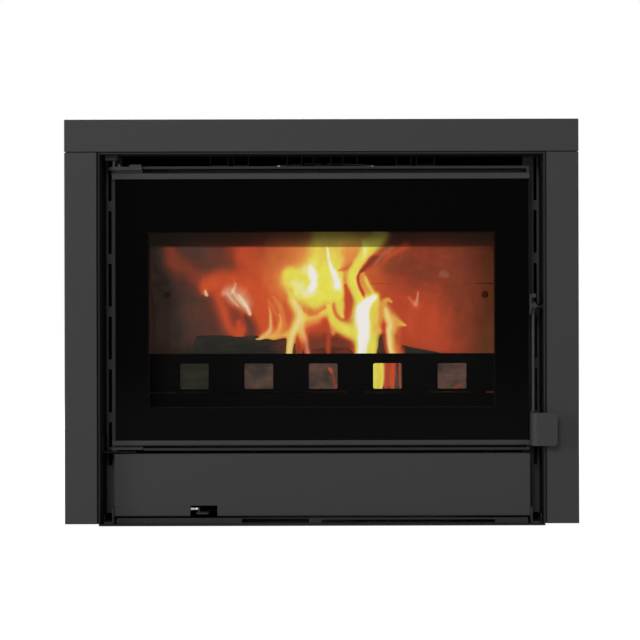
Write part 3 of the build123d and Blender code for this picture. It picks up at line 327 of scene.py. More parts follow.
# black enamel round the clear zone, with places and widths on the glass
printedBorder = {
    "left": -0.2722,
    "right": 0.2712,
    "low": 0.1836,
    "high": 0.4572,
    "sideFade": 0.0040,
    "sideFadeOutside": 0.4,     # share of the side fade past the border's line
    "edgeFade": 0.0022,
    "bandLow": 0.4345,          # darker band under the top of the clear zone
    "bandFade": 0.0012,
    "bandTint": 0.37,
    "bandTop": 0.66,
    "wisps": (18, 3, (1, 1, 2.5)),
    "wispTint": 0.08,
    "clearTint": 0.03,
    "filmColour": shade(36, 29, 24),
    "enamelColour": shade(8),
    "roughness": 0.12,
    "gloss": 0.03,
}


def ceramicGlass():
    look = printedBorder
    material, tree, output = newMaterial("ceramicGlass")
    place = coordinates(tree)
    x = axis(tree, place, "X")
    z = axis(tree, place, "Z")
    inside = look["sideFade"]
    outside = look["sideFade"] * look["sideFadeOutside"]
    fade = look["edgeFade"]
    sides = maths(tree, "MAXIMUM", step(tree, x, look["left"] + inside, look["left"] - outside),
                  step(tree, x, look["right"] - inside, look["right"] + outside))
    ends = maths(tree, "MAXIMUM", step(tree, z, look["low"] + fade, look["low"] - fade),
                 step(tree, z, look["high"] - fade, look["high"] + fade))
    border = maths(tree, "MAXIMUM", sides, ends)
    wisps = cloud(tree, place, *look["wisps"])
    band = step(tree, z, look["bandLow"] - look["bandFade"], look["bandLow"] + look["bandFade"])
    # darker towards the top of the clear zone, over the band
    soot = step(tree, z, look["bandLow"], look["high"], look["bandTint"], look["bandTop"])
    tint = maths(tree, "MULTIPLY_ADD", band, soot, look["clearTint"])
    tint = maths(tree, "MULTIPLY_ADD", maths(tree, "MULTIPLY", band, wisps), look["wispTint"], tint)
    alpha = maths(tree, "MAXIMUM", border, tint)
    film = blendColours(tree, border, look["filmColour"], look["enamelColour"])
    surface(tree, output, film, look["roughness"], Alpha=alpha, Specular_IOR_Level=look["gloss"])
    return material


braidLook = {
    "strands": 6,
    "strandStrength": 0.7,
    "strandDepth": 0.0008,
    "darkShare": 0.4,
    "roughness": 0.9,
    "gloss": 0.1,
}


def braid(name, colour):
    look = braidLook
    material, tree, output = newMaterial(name)
    uv = coordinates(tree, "UV")
    u = axis(tree, uv, "X")
    v = axis(tree, uv, "Y")
    waves = 2 * math.pi * look["strands"]
    one = maths(tree, "SINE", maths(tree, "MULTIPLY", maths(tree, "ADD", u, v), waves))
    two = maths(tree, "SINE", maths(tree, "MULTIPLY", maths(tree, "SUBTRACT", u, v), waves))
    weave = maths(tree, "MULTIPLY", one, two)
    tone = maths(tree, "MULTIPLY_ADD", weave, 0.5, 0.5)
    base = blendColours(tree, tone, darker(colour, look["darkShare"]), colour)
    normal = bump(tree, tone, look["strandStrength"], look["strandDepth"])
    surface(tree, output, base, look["roughness"], normal, Specular_IOR_Level=look["gloss"])
    return material


finishes = {
    "trimPaint": heatproofPaint("trimPaint", shade(60), 0.62),
    # darker than the trim's paint: painted shade on the recessed base, slider, flap brackets and door frame
    "recessShadePaint": heatproofPaint("recessShadePaint", shade(46), 0.66),
    # lighter than the trim's paint: painted light on the side strips, which lie in the shade of a deep
    # recess
    "sideStripLitPaint": heatproofPaint("sideStripLitPaint", shade(70), 0.66),
    "profilePaint": heatproofPaint("profilePaint", shade(58), 0.55),
    # the lighter edge colour is a painted highlight on the front faces of the casing and the fins
    "casingPaint": heatproofPaint("casingPaint", shade(12), 0.8, edge=shade(46)),
    "shadowPaint": heatproofPaint("shadowPaint", shade(8), 0.85),
    "hingePaint": heatproofPaint("hingePaint", shade(58), 0.45),
    "fireboxSteel": heatproofPaint("fireboxSteel", shade(14), 0.85, 0.3),
    "castIron": castIron("castIron", shade(26)),
    "retainerIron": castIron("retainerIron", shade(12), 0.8, 0.05),
    "zincSteel": turnedSteel("zincSteel", shade(76), 0.5),
    # near white: a painted glint on the air slider's tip
    "paintedGlintSteel": turnedSteel("paintedGlintSteel", shade(250), 0.3, 0.2),
    "blackSteel": turnedSteel("blackSteel", shade(46), 0.45),
    "lining": pressedLining("lining", 0.9),
    "baffleLining": pressedLining("baffleLining", 0.55),
    "glass": ceramicGlass(),
    "ropeBraid": braid("ropeBraid", shade(96, 94, 90)),
    "tapeBraid": braid("tapeBraid", shade(60, 58, 56)),
}

wearers = {
    "trimPaint": ["surround_top_bar", "surround_left_leg", "surround_right_leg", "ash_flap", "latch_grip"],
    "profilePaint": ["door_profile_top", "door_profile_bottom"],
    "recessShadePaint": ["base_tray", "air_slider", "flap_brackets", "door_frame"],
    "sideStripLitPaint": ["side_strip_left", "side_strip_right"],
    "casingPaint": ["casing_wrap", "casing_top", "convection_fins"],
    "shadowPaint": ["surround_brackets", "support_rails", "air_box", "air_inlet_collar", "slider_guides",
                    "hinge_bracket_bottom"],
    "hingePaint": ["hinge_arm_top", "hinge_arm_bottom", "hinge_bracket_top", "latch_lever",
                   "latch_bracket"],
    "fireboxSteel": ["firebox_front", "firebox_wrap", "firebox_floor", "firebox_top", "smoke_plate",
                     "smoke_lugs", "air_wash_channel", "hearth_rails", "ash_pan"],
    "castIron": ["flue_collar", "hearth_plate", "grate"],
    "retainerIron": ["hearth_lip", "log_retainer"],
    "zincSteel": ["door_profile_screws", "hinge_pins", "hinge_screws", "latch_pivot_pin"],
    "paintedGlintSteel": ["air_slider_tip"],
    "blackSteel": ["flue_collar_bolts", "lining_bolts", "casing_screws", "flap_pins", "striker_stud",
                   "striker_roller"],
    "lining": ["side_lining_left", "side_lining_right", "back_lining_lower", "back_lining_upper"],
    "baffleLining": ["baffle_plate"],
    "glass": ["door_glass"],
    "ropeBraid": ["door_seal_rope"],
    "tapeBraid": ["glass_gasket"],
}
for finish, nodes in wearers.items():
    for node in nodes:
        mesh = cadNodes[node].data
        mesh.materials.clear()
        mesh.materials.append(finishes[finish])
print("finishes on", sum(len(nodes) for nodes in wearers.values()), "nodes")


# helpers for new pieces
def selectNothing():
    if bpy.context.object and bpy.context.object.mode != "OBJECT":
        bpy.ops.object.mode_set(mode="OBJECT")
    bpy.ops.object.select_all(action="DESELECT")


def pick(piece):
    selectNothing()
    piece.select_set(True)
    bpy.context.view_layer.objects.active = piece


def settle(piece, name, material, body):
    # puts the place into the mesh, names the piece and hangs it on its body
    pick(piece)
    bpy.ops.object.transform_apply(location=True, rotation=True, scale=True)
    piece.name = name
    piece.data.name = name
    piece.data.materials.clear()
    piece.data.materials.append(material)
    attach(piece, body)


def newGrid(columns, rows):
    # a grid whose vertices run from -1 to 1 on X and Y, with a UV map
    selectNothing()
    bpy.ops.mesh.primitive_grid_add(x_subdivisions=columns, y_subdivisions=rows, size=2, calc_uvs=True)
    return bpy.context.object


def closeSeams(piece):
    pick(piece)
    bpy.ops.object.mode_set(mode="EDIT")
    bpy.ops.mesh.select_all(action="SELECT")
    bpy.ops.mesh.remove_doubles(threshold=0.00001)
    bpy.ops.mesh.normals_make_consistent(inside=False)
    bpy.ops.object.mode_set(mode="OBJECT")


def smooth(piece):
    pick(piece)
    bpy.ops.object.shade_smooth()


# rope seal and glass tape: grids rolled into tubes that run round the door
def loopPoint(share, halfWidth, low, high, corner):
    # a point and its outward direction on a rounded rectangle; the share goes from 0 to 1 round it
    quarter = math.pi / 2
    halfTop = halfWidth - corner
    middle = (low + high) / 2
    runs = [2 * halfTop, quarter * corner, high - low - 2 * corner, quarter * corner] * 2
    walked = share * sum(runs)
    for index, run in enumerate(runs):
        if walked <= run or index == len(runs) - 1:
            break
        walked -= run
    part = min(walked / run, 1)
    side = index // 2
    outward = quarter - side * quarter
    if index % 2:
        angle = outward - part * quarter
        corners = [(halfTop, high - corner), (halfTop, low + corner), (-halfTop, low + corner),
                   (-halfTop, high - corner)]
        centreX, centreZ = corners[side]
        direction = Vector((math.cos(angle), 0, math.sin(angle)))
        return Vector((centreX, 0, centreZ)) + corner * direction, direction
    middles = [(0, high), (halfWidth, middle), (0, low), (-halfWidth, middle)]
    middleX, middleZ = middles[side]
    direction = Vector((round(math.cos(outward)), 0, round(math.sin(outward))))
    onward = Vector((direction.z, 0, -direction.x))
    return Vector((middleX, 0, middleZ)) + (part - 0.5) * run * onward, direction


def finishSeal(seal, name, finish, node):
    closeSeams(seal)
    smooth(seal)
    settle(seal, name, finishes[finish], "door")
    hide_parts(node)


sealRope = {
    "rings": 1100,
    "sides": 14,
    "corner": 0.020,
    "strands": 5,
    "strandDepth": 0.0004,
    "twists": 230,
}


def makeSealRope():
    shape = sealRope
    low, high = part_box("door_seal_rope")
    radius = (high.y - low.y) / 2 - shape["strandDepth"]
    halfWidth = (high.x - low.x) / 2 - radius - shape["strandDepth"]
    middle = (low.y + high.y) / 2
    rope = newGrid(shape["rings"], shape["sides"])
    for vertex in rope.data.vertices:
        share = (vertex.co.x + 1) / 2
        angle = math.pi * vertex.co.y
        point, outward = loopPoint(share % 1, halfWidth, low.z + radius, high.z - radius, shape["corner"])
        twist = share * shape["twists"] * 2 * math.pi
        lay = math.cos(shape["strands"] * angle + twist)
        crossLay = math.cos(shape["strands"] * angle - twist)
        reach = radius + shape["strandDepth"] * max(lay, crossLay)
        depth = Vector((0, middle + reach * math.sin(angle), 0))
        vertex.co = point + outward * reach * math.cos(angle) + depth
    finishSeal(rope, "door_seal_braid", "ropeBraid", "door_seal_rope")


glassTape = {
    "rings": 520,
    "sides": 10,
    "corner": 0.013,
    "width": 0.010,
    "acrossPower": 0.5,         # powers under 1 make the section squarer
    "throughPower": 0.7,
}


def makeGlassTape():
    shape = glassTape
    low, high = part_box("glass_gasket")
    halfThick = (high.y - low.y) / 2
    middle = (low.y + high.y) / 2
    inset = shape["width"] / 2
    tape = newGrid(shape["rings"], shape["sides"])
    for vertex in tape.data.vertices:
        share = (vertex.co.x + 1) / 2
        angle = math.pi * vertex.co.y
        point, outward = loopPoint(share % 1, high.x - inset, low.z + inset, high.z - inset,
                                   shape["corner"])
        across = inset * math.copysign(abs(math.cos(angle)) ** shape["acrossPower"], math.cos(angle))
        through = halfThick * math.copysign(abs(math.sin(angle)) ** shape["throughPower"], math.sin(angle))
        vertex.co = point + outward * across + Vector((0, middle + through, 0))
    finishSeal(tape, "glass_tape", "tapeBraid", "glass_gasket")


makeSealRope()
makeGlassTape()
print("rope seal and glass tape made")


# firewood; the wood glows faintly, because it shows in the fire's light
woodLook = {
    "bark": (55, 5, (0.25, 1, 1)),
    "barkColours": [(0.3, shade(16, 13, 12)), (0.55, shade(42, 36, 31)), (0.75, shade(66, 58, 50))],
    "barkStrength": 0.8,
    "barkDepth": 0.003,
    "patches": (24, 3),
    "patchSteps": (0.40, 0.62),
    "footSteps": (0.203, 0.2105, 0.05, 1.0),       # heights, and the share of the light there
    "roughness": 0.95,
    "gloss": 0.1,
}


def charredWood(name, lit):
    # dim is the painted firelight on the wood away from the flames, low and high are the painted firelight
    # beside them
    look = woodLook
    material, tree, output = newMaterial(name)
    place = coordinates(tree)
    x = axis(tree, place, "X")
    z = axis(tree, place, "Z")
    bark = cloud(tree, place, *look["bark"])
    patches = cloud(tree, place, *look["patches"])
    base = ramp(tree, bark, look["barkColours"])
    left = step(tree, x, lit["left"] - lit["fade"], lit["left"])
    right = step(tree, x, lit["right"] + lit["fade"], lit["right"])
    near = maths(tree, "MULTIPLY", left, right)
    beside = blendColours(tree, step(tree, patches, *look["patchSteps"]), lit["low"], lit["high"])
    light = blendColours(tree, near, lit["dim"], beside)
    power = maths(tree, "MULTIPLY_ADD", bark, lit["grain"], lit["strength"] - lit["grain"] / 2)
    power = maths(tree, "MULTIPLY", power, step(tree, z, *look["footSteps"]))
    normal = bump(tree, bark, look["barkStrength"], look["barkDepth"])
    surface(tree, output, base, look["roughness"], normal, Specular_IOR_Level=look["gloss"],
            Emission_Color=light, Emission_Strength=power)
    return material


finishes["lowWood"] = charredWood("lowWood", {
    "left": -0.14, "right": 0.30, "fade": 0.03, "strength": 0.86, "grain": 0.36,
    "dim": shade(40, 41, 34), "low": shade(60, 53, 49), "high": shade(94, 70, 61),
})
finishes["topWood"] = charredWood("topWood", {
    "left": -0.03, "right": 0.05, "fade": 0.07, "strength": 0.66, "grain": 0.16,
    "dim": shade(45, 46, 41), "low": shade(96, 44, 34), "high": shade(140, 60, 40),
})

firewood = {
    # name: from (x, depth, z), to (x, depth, z), radius, split faces (degrees round the log),
    # slant of the end it starts from, finish
    "log_front": ((-0.238, 0.150, 0.2235), (0.262, 0.158, 0.2225), 0.0405, (75,), 0.1, "lowWood"),
    "log_back": ((-0.235, 0.240, 0.2265), (0.215, 0.250, 0.2255), 0.0435, (100, 200), 0.1, "lowWood"),
    "log_top_left": ((-0.246, 0.182, 0.2770), (-0.052, 0.205, 0.2800), 0.0340, (92,), 0.9, "topWood"),
    "log_top_middle": ((-0.040, 0.208, 0.2800), (0.120, 0.196, 0.2760), 0.0300, (60, 150), 0.3, "topWood"),
    "log_top_right": ((0.120, 0.196, 0.2665), (0.205, 0.232, 0.2520), 0.0260, (100,), 0.3, "topWood"),
}
logShape = {
    "sides": 44,
    "ringSpacing": 0.005,
    "splitAt": 0.45,            # how far from the middle a split face lies, as a share of the radius
    "grain": (0.07, 60, 9),     # size, and how fine it is across and along the log
    "ridges": (0.09, 170, 22),
    "splitRidges": 0.03,
    "bulges": (0.05, 14),       # size, and how fine along the log
    "endFlaws": (0.004, 120),   # size, and how fine across the end
    "endZone": 0.001,
    "slantFrom": 0.5,           # where the slant starts, as a share of the half length
    "smoothAngle": 50,
    "seedSteps": (3.7, 900, 40),
}


def splitLog(co, radius, splits):
    # pushes a point in to the split faces, and says whether it lies on one
    around = math.atan2(co.y, co.x)
    flat = False
    for split in map(math.radians, splits):
        pull = math.cos(around - split) * math.hypot(co.x, co.y) - logShape["splitAt"] * radius
        if pull > 0:
            co.x -= pull * math.cos(split)
            co.y -= pull * math.sin(split)
            flat = True
    return flat


def woodNoise(co, seed, across, along):
    return noise.noise(seed + Vector((co.x * across, co.y * across, co.z * along)))


def growBark(co, seed, flat):
    grain, grainAcross, grainAlong = logShape["grain"]
    ridges, ridgeAcross, ridgeAlong = logShape["ridges"]
    bulges, bulgeAlong = logShape["bulges"]
    if flat:
        ridges = logShape["splitRidges"]
    size = 1 + grain * woodNoise(co, seed, grainAcross, grainAlong)
    size -= ridges * abs(woodNoise(co, seed, ridgeAcross, ridgeAlong))
    size += bulges * woodNoise(co, seed, 0, bulgeAlong)
    co.x *= size
    co.y *= size


def makeLog(name, start, end, radius, splits, slant, finish):
    shape = logShape
    depthToY = Vector((0, trimFront, 0))
    start = Vector(start) + depthToY
    end = Vector(end) + depthToY
    length = (end - start).length
    selectNothing()
    bpy.ops.mesh.primitive_cylinder_add(vertices=shape["sides"], radius=radius, depth=length,
                                        end_fill_type="TRIFAN")
    log = bpy.context.object
    bpy.ops.object.mode_set(mode="EDIT")
    bpy.ops.mesh.select_all(action="DESELECT")
    bpy.ops.object.mode_set(mode="OBJECT")
    for edge in log.data.edges:
        one, two = (log.data.vertices[i].co for i in edge.vertices)
        edge.select = abs(one.z - two.z) > length / 2
    bpy.ops.object.mode_set(mode="EDIT")
    bpy.ops.mesh.subdivide(number_cuts=int(length / shape["ringSpacing"]))
    bpy.ops.object.mode_set(mode="OBJECT")
    byName, byRadius, byLength = shape["seedSteps"]
    seed = Vector((len(name) * byName, radius * byRadius, length * byLength))
    flaw, flawFine = shape["endFlaws"]
    for vertex in log.data.vertices:
        co = vertex.co
        growBark(co, seed, splitLog(co, radius, splits))
        if abs(co.z) > length / 2 - shape["endZone"]:
            co.z += flaw * woodNoise(co, seed, flawFine, 0)
        nearStart = max(0, -co.z / (length / 2) - shape["slantFrom"]) / (1 - shape["slantFrom"])
        co.z += slant * (co.y + radius) * nearStart ** 2
    turn = (end - start).to_track_quat("Z", "Y")
    log.data.transform(Matrix.Translation((start + end) / 2) @ turn.to_matrix().to_4x4())
    pick(log)
    bpy.ops.object.shade_smooth_by_angle(angle=math.radians(shape["smoothAngle"]))
    settle(log, name, finishes[finish], "insert")


for name, log in firewood.items():
    makeLog(name, *log)
print("firewood laid:", len(firewood))


# the fire is airbrushed on sheets: each stroke is (warmth, cover, edge, depth, points), a point is
# (x, z, half width) in seen millimetres, a stroke lies over the ones before it, and its edge is soft
# at 2 and crisp at 4
# the haze sheet is the smoke and the firelight on the back wall behind the flames, painted as a glow
hazeStrokes = {
    "greySmoke": (0.085, 0.52, 2, 0.238, [(-205, 455, 26), (-208, 400, 30), (-204, 350, 24),
        (-206, 300, 24)]),
    # painted shade in the back's left corner
    "cornerShade": (0.04, 0.45, 2, 0.238, [(-264, 455, 12), (-262, 380, 16), (-264, 300, 20)]),
    "rosySmoke": (0.17, 0.7, 2, 0.238, [(-178, 356, 22), (-182, 330, 28), (-178, 300, 22)]),
    "upperGrey": (0.13, 0.85, 2, 0.24, [(-205, 440, 16), (-175, 425, 18), (-150, 424, 16)]),
    "redArm": (0.27, 0.9, 2, 0.236, [(-243, 448, 6), (-234, 425, 10), (-216, 402, 13), (-194, 388, 14),
        (-174, 388, 14)]),
    "mainRed": (0.41, 0.95, 2, 0.24, [(-112, 440, 22), (-112, 412, 34), (-88, 380, 44), (-84, 340, 34),
        (-80, 310, 24)]),
    "topRed": (0.34, 0.9, 2, 0.24, [(-110, 452, 16), (-70, 450, 20), (-40, 440, 26)]),
    "darkRedShade": (0.16, 0.8, 2, 0.236, [(-180, 400, 9), (-162, 400, 11), (-144, 402, 8)]),
    "behindCore": (0.5, 0.95, 2, 0.24, [(-30, 300, 30), (-20, 350, 48), (0, 400, 62), (14, 450, 56)]),
    "rightLow": (0.44, 0.95, 2, 0.24, [(98, 300, 34), (120, 330, 42), (150, 320, 44), (170, 300, 36)]),
    "rightRed": (0.4, 0.9, 2, 0.24, [(130, 360, 34), (170, 345, 34), (190, 310, 30)]),
    "rightBrown": (0.3, 0.9, 2, 0.24, [(100, 425, 26), (140, 415, 32), (180, 412, 36), (200, 380, 30)]),
    "brownPatch": (0.25, 0.6, 2, 0.238, [(118, 400, 14), (140, 392, 20), (164, 392, 16)]),
    "farRight": (0.24, 0.5, 2, 0.24, [(214, 450, 24), (218, 380, 20), (214, 300, 22)]),
}
flameStrokes = {
    "fishBody": (0.47, 0.97, 3, 0.175, [(-186, 364, 3), (-174, 375, 14), (-155, 377, 17), (-131, 376, 20),
        (-110, 368, 18), (-98, 350, 15), (-91, 324, 10), (-89, 304, 4)]),
    "neck": (0.45, 0.92, 2, 0.17, [(-160, 358, 8), (-153, 335, 9), (-146, 317, 8.5), (-136, 302, 8),
        (-127, 296, 7.5), (-119, 304, 6), (-115, 322, 4)]),
    "neckHollow": (0.27, 0.62, 2, 0.176, [(-138, 336, 5), (-134, 324, 8), (-131, 314, 6)]),
    "neckGlow": (0.47, 0.8, 2, 0.168, [(-128, 316, 4), (-127, 304, 7), (-126, 297, 6)]),
    "greyGap": (0.09, 0.85, 2, 0.18, [(-118, 326, 2), (-111, 316, 6), (-108, 302, 7), (-112, 292, 8)]),
    "paleFan": (0.57, 0.85, 2, 0.16, [(-153, 362, 4), (-143, 366, 7), (-133, 360, 11), (-123, 349, 10),
        (-112, 331, 3)]),
    "fanRayOne": (0.54, 0.55, 2, 0.159, [(-141, 364, 1), (-140, 352, 1.2), (-137, 342, 1)]),
    "fanRayTwo": (0.54, 0.55, 2, 0.159, [(-134, 366, 1), (-132, 352, 1.2), (-128, 340, 1)]),
    "fanRayThree": (0.55, 0.5, 2, 0.159, [(-126, 360, 1), (-123, 350, 1.2), (-119, 340, 1)]),
    "paleRay": (0.6, 0.8, 2, 0.158, [(-126, 354, 1.6), (-118, 342, 2.4), (-111, 328, 1.4)]),
    "paleRayUp": (0.54, 0.6, 2, 0.158, [(-136, 386, 1), (-137, 374, 2), (-140, 366, 2)]),
    "paleTip": (0.56, 0.8, 2, 0.162, [(-181, 368, 1.4), (-180, 361, 2.2), (-178, 358, 1.2)]),
    "redField": (0.49, 0.9, 2, 0.182, [(-74, 368, 18), (-68, 345, 20), (-68, 318, 20), (-70, 302, 14)]),
    "lickC": (0.58, 0.8, 2, 0.166, [(-56, 300, 6), (-59, 320, 5), (-64, 339, 4), (-74, 356, 2)]),
    "lickD": (0.57, 0.7, 2, 0.166, [(-84, 352, 1), (-76, 340, 3), (-70, 326, 3), (-66, 312, 3)]),
    "logLine": (0.7, 0.85, 2, 0.158, [(-101, 291.5, 1.5), (-82, 293, 3.2), (-67, 295, 3.6), (-53, 298, 3)]),
    "lickA": (0.69, 0.85, 2, 0.158, [(-94, 293, 4), (-83, 301, 4), (-80, 316, 2.6), (-79.6, 331, 1.8),
        (-82, 341, 0.8)]),
    "lickB": (0.69, 0.85, 2, 0.16, [(-76, 295, 6), (-67, 303, 5), (-63.5, 317, 2), (-65, 328, 0.8)]),
    "coreHalo": (0.62, 0.9, 2, 0.19, [(-50, 388, 26), (-20, 396, 42), (10, 412, 46), (24, 448, 40)]),
    "coreLeft": (0.86, 0.95, 4, 0.18, [(-47, 388, 14), (-38, 378, 20), (-26, 378, 22), (-14, 384, 20)]),
    "coreMiddle": (0.86, 0.95, 4, 0.184, [(-10, 352, 14), (-8, 372, 26), (0, 398, 26), (4, 418, 22),
        (14, 446, 24)]),
    "coreRight": (0.86, 0.95, 4, 0.178, [(10, 360, 14), (16, 376, 17), (18, 398, 17), (24, 412, 14)]),
    "coreTop": (0.74, 0.8, 2, 0.182, [(-14, 430, 8), (10, 434, 16), (38, 444, 16), (62, 446, 15)]),
    "coreBlush": (0.6, 0.75, 2, 0.176, [(34, 400, 4), (42, 412, 10), (44, 428, 11)]),
    "blushEdge": (0.5, 0.7, 2, 0.174, [(26, 396, 1.5), (38, 400, 2.5), (48, 410, 2)]),
    "whiteJ": (1.02, 0.95, 3, 0.166, [(-17, 402, 4), (-14, 392, 6.5), (-12, 381, 5), (-15, 368, 8),
        (-20, 364, 6)]),
    "whiteFoot": (0.95, 0.8, 2, 0.168, [(-22, 364, 6), (-34, 361, 8), (-40, 362, 5)]),
    "whiteBlade": (1.02, 0.95, 3, 0.168, [(9, 434, 1.4), (11.5, 420, 2.6), (14, 404, 3.2), (20, 389, 5),
        (25, 375, 7), (25.5, 361, 6), (24, 352, 2)]),
    "coreSeam": (0.74, 0.6, 2, 0.174, [(-4, 428, 1.5), (-2, 412, 2), (-4, 398, 1.5)]),
    "legGap": (0.3, 0.8, 2, 0.178, [(-36.5, 302, 1), (-38, 288, 2.6), (-37, 266, 5)]),
    "legOne": (0.76, 0.95, 3, 0.16, [(-49, 366, 4), (-46, 352, 6), (-38, 339, 8), (-34, 326, 9),
        (-38, 312, 8.5), (-45, 298, 7.5), (-50, 282, 6.5), (-52, 266, 6)]),
    "legTwo": (0.77, 0.95, 3, 0.158, [(-30, 330, 6), (-31, 312, 5.6), (-28, 294, 5.6), (-23, 278, 5),
        (-20, 264, 5)]),
    "arch": (0.78, 0.95, 3, 0.164, [(-30, 322, 6), (-20, 319, 8), (-8, 322, 9), (4, 332, 7),
        (12, 340, 4.5), (14, 346, 3)]),
    "archSkirt": (0.6, 0.75, 2, 0.17, [(-20, 312, 8), (-10, 312, 9), (2, 320, 6)]),
    "darkArch": (0.55, 0.85, 2, 0.156, [(-30, 340, 1.4), (-26, 334, 2.4), (-19, 330, 2.8), (-10, 329, 2.8),
        (0, 336, 2.4), (12, 344, 2)]),
    "underArch": (0.38, 0.85, 2, 0.19, [(-12, 300, 10), (2, 306, 10), (6, 318, 5)]),
    "lowBrown": (0.24, 0.85, 2, 0.19, [(-16, 278, 12), (10, 284, 12), (30, 280, 14), (46, 276, 8)]),
    "lowStreak": (0.64, 0.7, 2, 0.16, [(16, 322, 4), (17, 310, 4.4), (17.5, 300, 4)]),
    "lowThread": (0.44, 0.7, 2, 0.16, [(10, 296, 2.5), (10, 284, 3), (10, 268, 3)]),
    "cradle": (0.82, 0.95, 3, 0.154, [(11, 342, 3.5), (15, 332, 5), (22, 318, 7), (32, 308, 9.5),
        (44, 302, 11), (56, 299, 9)]),
    "strut": (0.82, 0.9, 3, 0.164, [(24, 358, 9), (27, 346, 7.5), (30, 335, 6), (33, 326, 3.5)]),
    "strutLine": (0.52, 0.8, 2, 0.156, [(18, 346, 1.4), (20, 336, 2), (25, 326, 2.4), (33, 319.5, 2.6),
        (42, 321, 2.4), (47, 330, 1.8)]),
    "ovalTop": (0.62, 0.8, 2, 0.152, [(36, 390, 2), (38, 380, 4), (39, 370, 5)]),
    "oval": (0.43, 0.92, 3, 0.15, [(38.5, 374, 2.6), (40.5, 360, 5.4), (42, 345, 6.4), (41, 332, 5.6),
        (38.5, 323, 2.4)]),
    "arm": (0.85, 0.95, 4, 0.158, [(64, 342, 8), (61, 352, 10), (57, 362, 9.5), (52, 376, 9), (50, 391, 9),
        (57, 406, 8.5), (67, 421, 9.5), (78, 436, 11), (90, 452, 12)]),
    "armGap": (0.34, 0.9, 3, 0.156, [(60, 398, 1), (57.5, 387, 2), (59.5, 372, 2.4), (65, 360, 2.4),
        (69, 352, 1.2)]),
    "secondArm": (0.66, 0.9, 3, 0.152, [(64, 392, 2.5), (67, 380, 4.4), (73, 367, 6), (80, 356, 6)]),
    "secondEdge": (0.8, 0.8, 2, 0.15, [(68, 386, 1), (72, 374, 2), (79, 363, 2.4), (83, 354, 3)]),
    "armWhite": (0.95, 0.8, 2, 0.15, [(66, 444, 2), (67.5, 432, 3), (66.5, 422, 2.4), (62, 414, 1)]),
    "darkWedge": (0.21, 0.85, 2, 0.18, [(61, 394, 1.2), (67, 402, 3.6), (76, 411, 4.6), (85, 417, 2.6)]),
    "rootHalo": (0.84, 0.95, 3, 0.15, [(84, 358, 5), (76, 348, 10), (66, 336, 14), (64, 318, 16),
        (66, 302, 15), (66, 286, 14), (66, 266, 13)]),
    "sleeve": (0.8, 0.95, 3, 0.152, [(83, 350, 6), (84, 336, 7), (84, 320, 8), (83, 306, 8), (79, 290, 7),
        (78, 266, 6)]),
    "sleeveEdge": (0.6, 0.75, 2, 0.152, [(92, 340, 2.5), (92, 322, 3), (93, 310, 3)]),
    "rootWhite": (1.03, 0.97, 4, 0.148, [(82, 356, 4.5), (75, 349, 6.5), (67, 340, 9.5), (63, 328, 11.5),
        (64, 314, 12), (66, 300, 10.5), (64, 286, 8.5), (62, 266, 7)]),
    "barb": (0.72, 0.85, 3, 0.149, [(84, 306, 6), (90, 303, 4.5), (96, 302, 1)]),
    "rightDarkLine": (0.32, 0.8, 2, 0.17, [(97, 322, 1.4), (99, 308, 3.4), (99, 290, 3.6),
        (101, 266, 3.4)]),
    "farFlame": (0.68, 0.92, 3, 0.152, [(108, 347, 1.6), (102, 351, 3), (96, 346, 5), (97, 336, 6.4),
        (102, 325, 8), (109, 315, 9), (108, 302, 7.5), (108, 287, 7.5), (113, 266, 9)]),
    "farSpine": (0.78, 0.75, 2, 0.15, [(98, 336, 2), (103, 324, 3.4), (108, 314, 4), (106, 300, 3.4),
        (106, 286, 3.4), (110, 266, 3.4)]),
    "farBarb": (0.7, 0.9, 3, 0.15, [(108, 320, 6), (118, 316, 5), (130, 312.5, 1.4)]),
    "farGlow": (0.5, 0.7, 2, 0.16, [(119, 300, 3), (119, 284, 4), (124, 268, 5)]),
    "spark": (0.5, 0.85, 2, 0.19, [(150, 366, 1), (148, 355, 2), (146, 345, 4.4), (150, 340, 3)]),
    "sparkArm": (0.5, 0.75, 2, 0.19, [(136, 356, 1.6), (141, 349, 3), (146, 344, 4)]),
    "wispOne": (0.5, 0.45, 2, 0.18, [(94, 407, 1.6), (101, 416, 3), (112, 425, 4), (132, 436, 5)]),
    "wispTwo": (0.48, 0.45, 2, 0.18, [(82, 420, 1.6), (94, 424, 3), (106, 424, 3)]),
}
lowStrokes = {
    "windowWarmth": (0.38, 0.75, 2, 0.108, [(106, 224, 14), (107, 234, 15), (106, 252, 14)]),
    "windowFlame": (0.79, 0.95, 2, 0.106, [(86, 218, 9), (87, 232, 9.5), (86, 258, 9)]),
    "windowPale": (0.93, 0.7, 2, 0.105, [(80, 213, 2), (80.5, 232, 2.4), (80, 256, 2)]),
    "windowPaleTwo": (0.93, 0.7, 2, 0.105, [(93, 213, 1.8), (93.5, 232, 2.2), (92, 256, 2)]),
    "windowGap": (0.3, 0.45, 2, 0.107, [(100.5, 213, 2.4), (100, 232, 3), (101, 256, 2.4)]),
    "windowStreak": (0.54, 0.5, 2, 0.107, [(110, 213, 3), (109, 232, 3.6), (111, 256, 3)]),
    "windowEdge": (0.56, 0.35, 2, 0.106, [(121.5, 213, 2.2), (121.5, 256, 2.2)]),
    "middleEmber": (0.31, 0.5, 2, 0.107, [(13, 244, 4), (18, 234, 6), (22, 216, 6)]),
    "middleSpark": (0.52, 0.6, 2, 0.106, [(12, 244, 2.4), (14.5, 240, 2.4)]),
    "rightEmber": (0.3, 0.6, 2, 0.107, [(206, 214, 7), (216, 219, 7)]),
}
